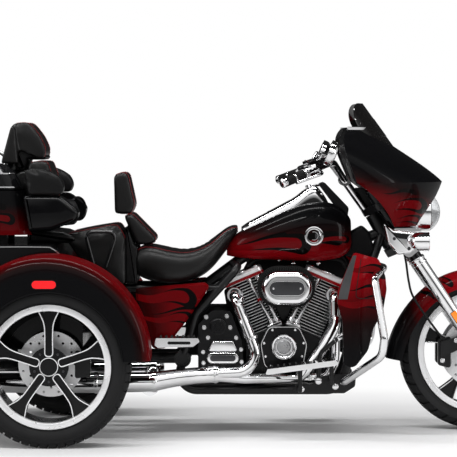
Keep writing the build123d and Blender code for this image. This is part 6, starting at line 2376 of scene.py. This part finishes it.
def solids_of(node: str) -> list[BMesh]:
    """The separate closed shapes of a solid, lowest first, as copies."""
    whole = bmesh.new()
    whole.from_mesh(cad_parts[node].data)
    bmesh.ops.remove_doubles(whole, verts=whole.verts, dist=1e-6)
    whole.faces.ensure_lookup_table()
    left = dict.fromkeys(whole.faces)
    made = []
    while left:
        grown = [next(iter(left))]
        del left[grown[0]]
        for known_face in grown:
            for near in (f for e in known_face.edges for f in e.link_faces if f in left):
                del left[near]
                grown.append(near)
        part = bmesh.new()
        known: dict[BMVert, BMVert] = {}
        for f in grown:
            corners = []
            for v in f.verts:
                if v not in known:
                    known[v] = part.verts.new(v.co)
                corners.append(known[v])
            part.faces.new(corners)
        made.append(part)
    whole.free()
    return sorted(made, key=lambda b: min(v.co.z for v in b.verts))


def as_solid(shape: Sculpt) -> BMesh:
    """A sculpted closed shape, in metres, to be made into a pad."""
    mesh = shape.mesh("solid")
    made = bmesh.new()
    made.from_mesh(mesh)
    bpy.data.meshes.remove(mesh)
    return made


@dataclass
class Saddle:
    """Seats, rests and arm pads, with the hardware that carries the backrest.

    Attributes:
        seat_x: the place along X that the passenger's rests are drawn from.
        post, upper_pad, lower_pad: side outlines of the rider's backrest.
        seat_widths: (x, half width) along the rider's seat.
    """

    seat_x: float = -703.0
    post: tuple[Flat, ...] = ((-427, 601), (-411, 601), (-411, 880), (-427, 880))
    upper_pad: tuple[Flat, ...] = ((-492, 888), (-496, 1050), (-438, 1062), (-408, 924), (-424, 886))
    lower_pad: tuple[Flat, ...] = (
        (-456, 884), (-418, 892), (-318, 790), (-326, 772), (-352, 763), (-404, 763),
    )
    seat_widths: tuple[Flat, ...] = ((-404, 176), (-300, 200), (-200, 196), (-100, 160), (-30, 108), (12, 70))

    def build(self, kit: Kit) -> None:
        """Makes every cushion."""
        down = (0, 0, -1)
        Cushion(
            "rider_saddle", "rider_seat", Body.CHASSIS, down, self.seat_widths, seam=0.8, cap=14,
            stitched=690,
        ).build(kit, solids_of("rider_seat"))
        Cushion(
            "pillion_saddle", "pillion_seat", Body.CHASSIS, down, ((0, 186),), seam=0.88, cap=10,
            stitched=780,
        ).build(kit, solids_of("pillion_seat"))
        self.rider_rest(kit)
        self.passenger_rests(kit)
        self.arms(kit)

    def rider_rest(self, kit: Kit) -> None:
        """The rider's backrest: two pads on a post, and the dark fill between the saddles below it."""
        post = Sculpt().plate(arc_corners(self.post, 4), right_side(0), -30, 30, 3)
        kit.add("backrest_post", post, "satin")
        back = (-0.95, 0, -0.3)
        upper = Sculpt().plate(
            arc_corners(self.upper_pad, [10, 22, 22, 30, 12], 6), right_side(0), -128, 128, 12,
        )
        Cushion(
            "rider_rest_pad", "rider_backrest", Body.CHASSIS, back, ((0, 128),), cap=6, voxel=5, swell=2,
            rounds=12,
        ).build(kit, [as_solid(upper)])
        lower = Sculpt().plate(
            arc_corners(self.lower_pad, [12, 18, 14, 8, 10, 14], 6), right_side(0), -150, 150, 12,
        )
        Cushion(
            "rider_lumbar_pad", "", Body.CHASSIS, (-0.8, 0, -0.6), ((0, 150),), cap=6, voxel=5, swell=2,
            rounds=12,
        ).build(kit, [as_solid(lower)])
        bridge = Sculpt()
        outline = [(-447, 606), (-398, 606), (-396, 752), (-410, 766), (-428, 812), (-440, 836), (-447, 836)]
        bridge.plate(arc_corners(outline, [6, 6, 8, 8, 8, 4, 3]), right_side(58), 0, 112, 10)
        kit.add("saddle_bridges", bridge.mirrored(), "vinyl")

    def passenger_rests(self, kit: Kit) -> None:
        """The passenger's back pad and the headrest on the lid, with its shell."""
        rear = (-1, 0, 0)
        Cushion(
            "passenger_back_pad", "passenger_backrest", Body.CHASSIS, rear, ((0, 196),), seam=0.84, cap=8,
            swell=1, rounds=6, stitched=860,
        ).build(kit, solids_of("passenger_backrest"))
        Cushion(
            "headrest_pads", "headrest", Body.LID, rear, ((0, 146),), seam=0.84, cap=10, stitched=1120,
        ).build(kit, solids_of("headrest"))
        cheek = Sculpt()
        x = self.seat_x
        side = [
            (x - 189, 1062), (x - 147, 1062), (x - 140, 1108), (x - 84, 1113), (x - 84, 1140),
            (x - 206, 1176),
        ]
        cheek.plate(arc_corners(side, [5, 6, 6, 8, 8, 8]), right_side(0), -128, 128, 16)
        neck = [(x - 132, 1108), (x - 74, 1108), (x - 66, 1116), (x - 72, 1132), (x - 132, 1132)]
        cheek.plate(arc_corners(neck, 4), right_side(0), -118, 118, 3)
        kit.add("headrest_cheek", cheek, "vinyl", Body.LID)

    def arms(self, kit: Kit) -> None:
        """Arm pads, and the hard pods under them with a round speaker at the front."""
        Cushion(
            "arm_pads", "armrests", Body.CHASSIS, (0, 0, -1), ((0, 300),), seam=0.0, finish="vinyl",
            cap=5, voxel=5, swell=2, rounds=14,
        ).build(kit, solids_of("armrests")[2:])
        x = self.seat_x
        pod = [(x - 144, 967), (x + 4, 967), (x + 80, 908), (x + 70, 868), (x - 30, 828), (x - 120, 822)]
        pods = Sculpt().plate(arc_corners(pod, [12, 56, 26, 30, 90, 14], 9), right_side(216), 0, 116, 18)
        kit.add("arm_pods", pods.mirrored(), "gloss")
        way = Vector((0.8, 0.56, 0.08)).normalized()
        at = Vector((x + 40, -236, 900))
        rim = Sculpt().lathe([(44, -4), (44, 6), (46, 9), (50, 9), (52, 5), (52, -30)], at, way, sides=56)
        kit.add("pod_speaker_rims", rim.mirrored(), "plastic")
        cloth = Sculpt().lathe(
            [(0, 7), (30, 5.5), (44, 3), (44, -20), (0, -20)], at, way, closed=False, sides=56,
        )
        kit.add("pod_speakers", cloth.mirrored(), "grille")
        fill = [(x - 138, 772), (x - 138, 822), (x - 60, 826), (x + 10, 818), (x + 62, 796), (x + 62, 772)]
        bolster = Sculpt().plate(arc_corners(fill, [6, 8, 20, 30, 16, 6], 6), right_side(0), -190, 190, 16)
        kit.add("pillion_bolster", bolster, "vinyl")


# The studio


@dataclass
class Studio:
    """Pale floor, soft light and the camera at the photograph's standpoint.

    Attributes:
        camera_at: camera position in metres.
        focal_px: focal length in pixels of the square picture.
        picture_px: the picture's width.
        horizon_row: row of the picture at the camera's own height.
    """

    camera_at: Point = (-0.029, -9.769, 1.190)
    focal_px: float = 2379.0
    picture_px: float = 457.0
    horizon_row: float = 139.5

    def build(self) -> None:
        """Makes the world, floor, lamps and camera."""
        scene = bpy.context.scene
        scene.view_settings.view_transform = "Standard"
        self.world(scene)
        self.floor()
        self.lamp("key", (-0.4, -2.9, 4.4), (0, -0.3, 0.5), 5.4, 0.18, 140.0)
        self.lamp("overhead", (0.0, 0.4, 4.2), (0, 0.1, 0.4), 5.0, 0.3, 100.0)
        self.lamp("front", (5.2, -2.6, 1.9), (0.4, 0, 0.6), 1.0, 3.0, 60.0)
        self.lamp("rear", (-5.4, -2.2, 2.2), (-0.6, 0, 0.6), 1.0, 3.0, 60.0)
        self.camera(scene)

    def world(self, scene: Scene) -> None:
        """White to the camera and through glass; to mirrors a bright bank of light on the camera's side."""
        world = bpy.data.worlds.new("studio_world")
        world.use_nodes = True
        s = Sketch(world.node_tree)
        s.tree.nodes.clear()
        out = s.node("OutputWorld")
        sky = s.node("TexCoord").outputs["Generated"]
        ahead, aside, height = s.axes(sky)
        over = s.math("DIVIDE", s.math("ARCTAN2", height, s.math("MULTIPLY", aside, -1.0)), pi)
        dark, dim, pale, white = ((v, v, v) for v in (0.02, 0.12, 0.95, 1.25))
        stops = (
            (0.0, dark), (0.03, dark), (0.07, pale), (0.24, white), (0.33, dim), (0.42, dark),
            (0.9, dark),
        )
        ends = s.remap(s.math("ABSOLUTE", ahead), 0.72, 0.92)
        mirrored = s.mix(ends, s.ramp(s.math("MAXIMUM", over, 0.0), stops), (0.7, 0.7, 0.7))
        path = s.node("LightPath")
        seen = s.math("MAXIMUM", path.outputs["Is Camera Ray"], path.outputs["Is Transmission Ray"])
        even = s.mix(path.outputs["Is Glossy Ray"], (0.4, 0.4, 0.4), mirrored)
        back = s.node("Background", Strength=1.0)
        s.feed(s.mix(seen, even, (1.0, 1.0, 1.0)), back.inputs["Color"])
        s.feed(back.outputs[0], out.inputs["Surface"])
        scene.world = world

    def floor(self) -> None:
        """A wide pale floor that turns to plain white away from the machine."""
        size = 40.0
        mesh = bpy.data.meshes.new("floor")
        corners = [(-size, -size, 0), (size, -size, 0), (size, size, 0), (-size, size, 0)]
        mesh.from_pydata(corners, [], [(0, 1, 2, 3)])
        s = Shader("pale_floor", Roughness=0.6, Specular_IOR_Level=0.15)
        path = s.node("LightPath")
        s.set(Base_Color=s.mix(path.outputs["Is Glossy Ray"], (0.88, 0.88, 0.885), (0.75, 0.75, 0.75)))
        x, y, _ = s.axes(s.where)
        u, v = s.math("MULTIPLY", x, 0.55), s.math("MULTIPLY", s.math("ADD", y, -0.15), 0.9)
        far = s.math("SQRT", s.math("MULTIPLY_ADD", u, u, s.math("MULTIPLY", v, v)))
        shown = s.math("MULTIPLY", s.remap(far, 0.7, 1.45), path.outputs["Is Camera Ray"])
        glow = s.node("Emission", Color=(1, 1, 1, 1), Strength=1.0)
        mix = s.node("MixShader")
        s.feed(shown, mix.inputs[0])
        s.feed(s.bsdf.outputs[0], mix.inputs[1])
        s.feed(glow.outputs[0], mix.inputs[2])
        s.feed(mix.outputs[0], s.out.inputs["Surface"])
        mesh.materials.append(s.material)
        show("floor", mesh, None)

    def lamp(self, name: str, at: Point, aim: Point, width: float, height: float, watts: float) -> None:
        """A soft rectangular lamp."""
        data = bpy.data.lights.new(name, "AREA")
        data.shape, data.size, data.size_y, data.energy = "RECTANGLE", width, height, watts
        obj = bpy.data.objects.new(name, data)
        bpy.context.scene.collection.objects.link(obj)
        obj.location = at
        obj.rotation_euler = (Vector(aim) - Vector(at)).to_track_quat("-Z", "Y").to_euler()

    def camera(self, scene: Scene) -> None:
        """A long-lens view of the right side, tipped to put the horizon on its row."""
        data = bpy.data.cameras.new("portrait")
        data.sensor_width = 36.0
        data.lens = self.focal_px / self.picture_px * data.sensor_width
        data.clip_end = 200.0
        obj = bpy.data.objects.new("portrait", data)
        scene.collection.objects.link(obj)
        obj.location = self.camera_at
        tip = atan2(self.horizon_row - self.picture_px / 2, self.focal_px)
        obj.rotation_euler = (pi / 2 + tip, 0.0, 0.0)
        scene.camera = obj


def main() -> None:
    """Builds every sub-assembly in order."""
    logging.basicConfig(level=logging.INFO, format="%(message)s")
    Studio().build()
    finishes = Finishes()
    finishes.dress_nodes()
    kit = Kit(finishes, Repeater())
    assemblies = (
        rear_wheel(RIGHT), rear_wheel(LEFT), front_wheel(), Engine(), Exhaust(), Bodywork(), FrontEnd(),
        Cockpit(), Saddle(),
    )
    for assembly in assemblies:
        assembly.build(kit)
        log.info("built %s", type(assembly).__name__)


if __name__ == "__main__":
    main()
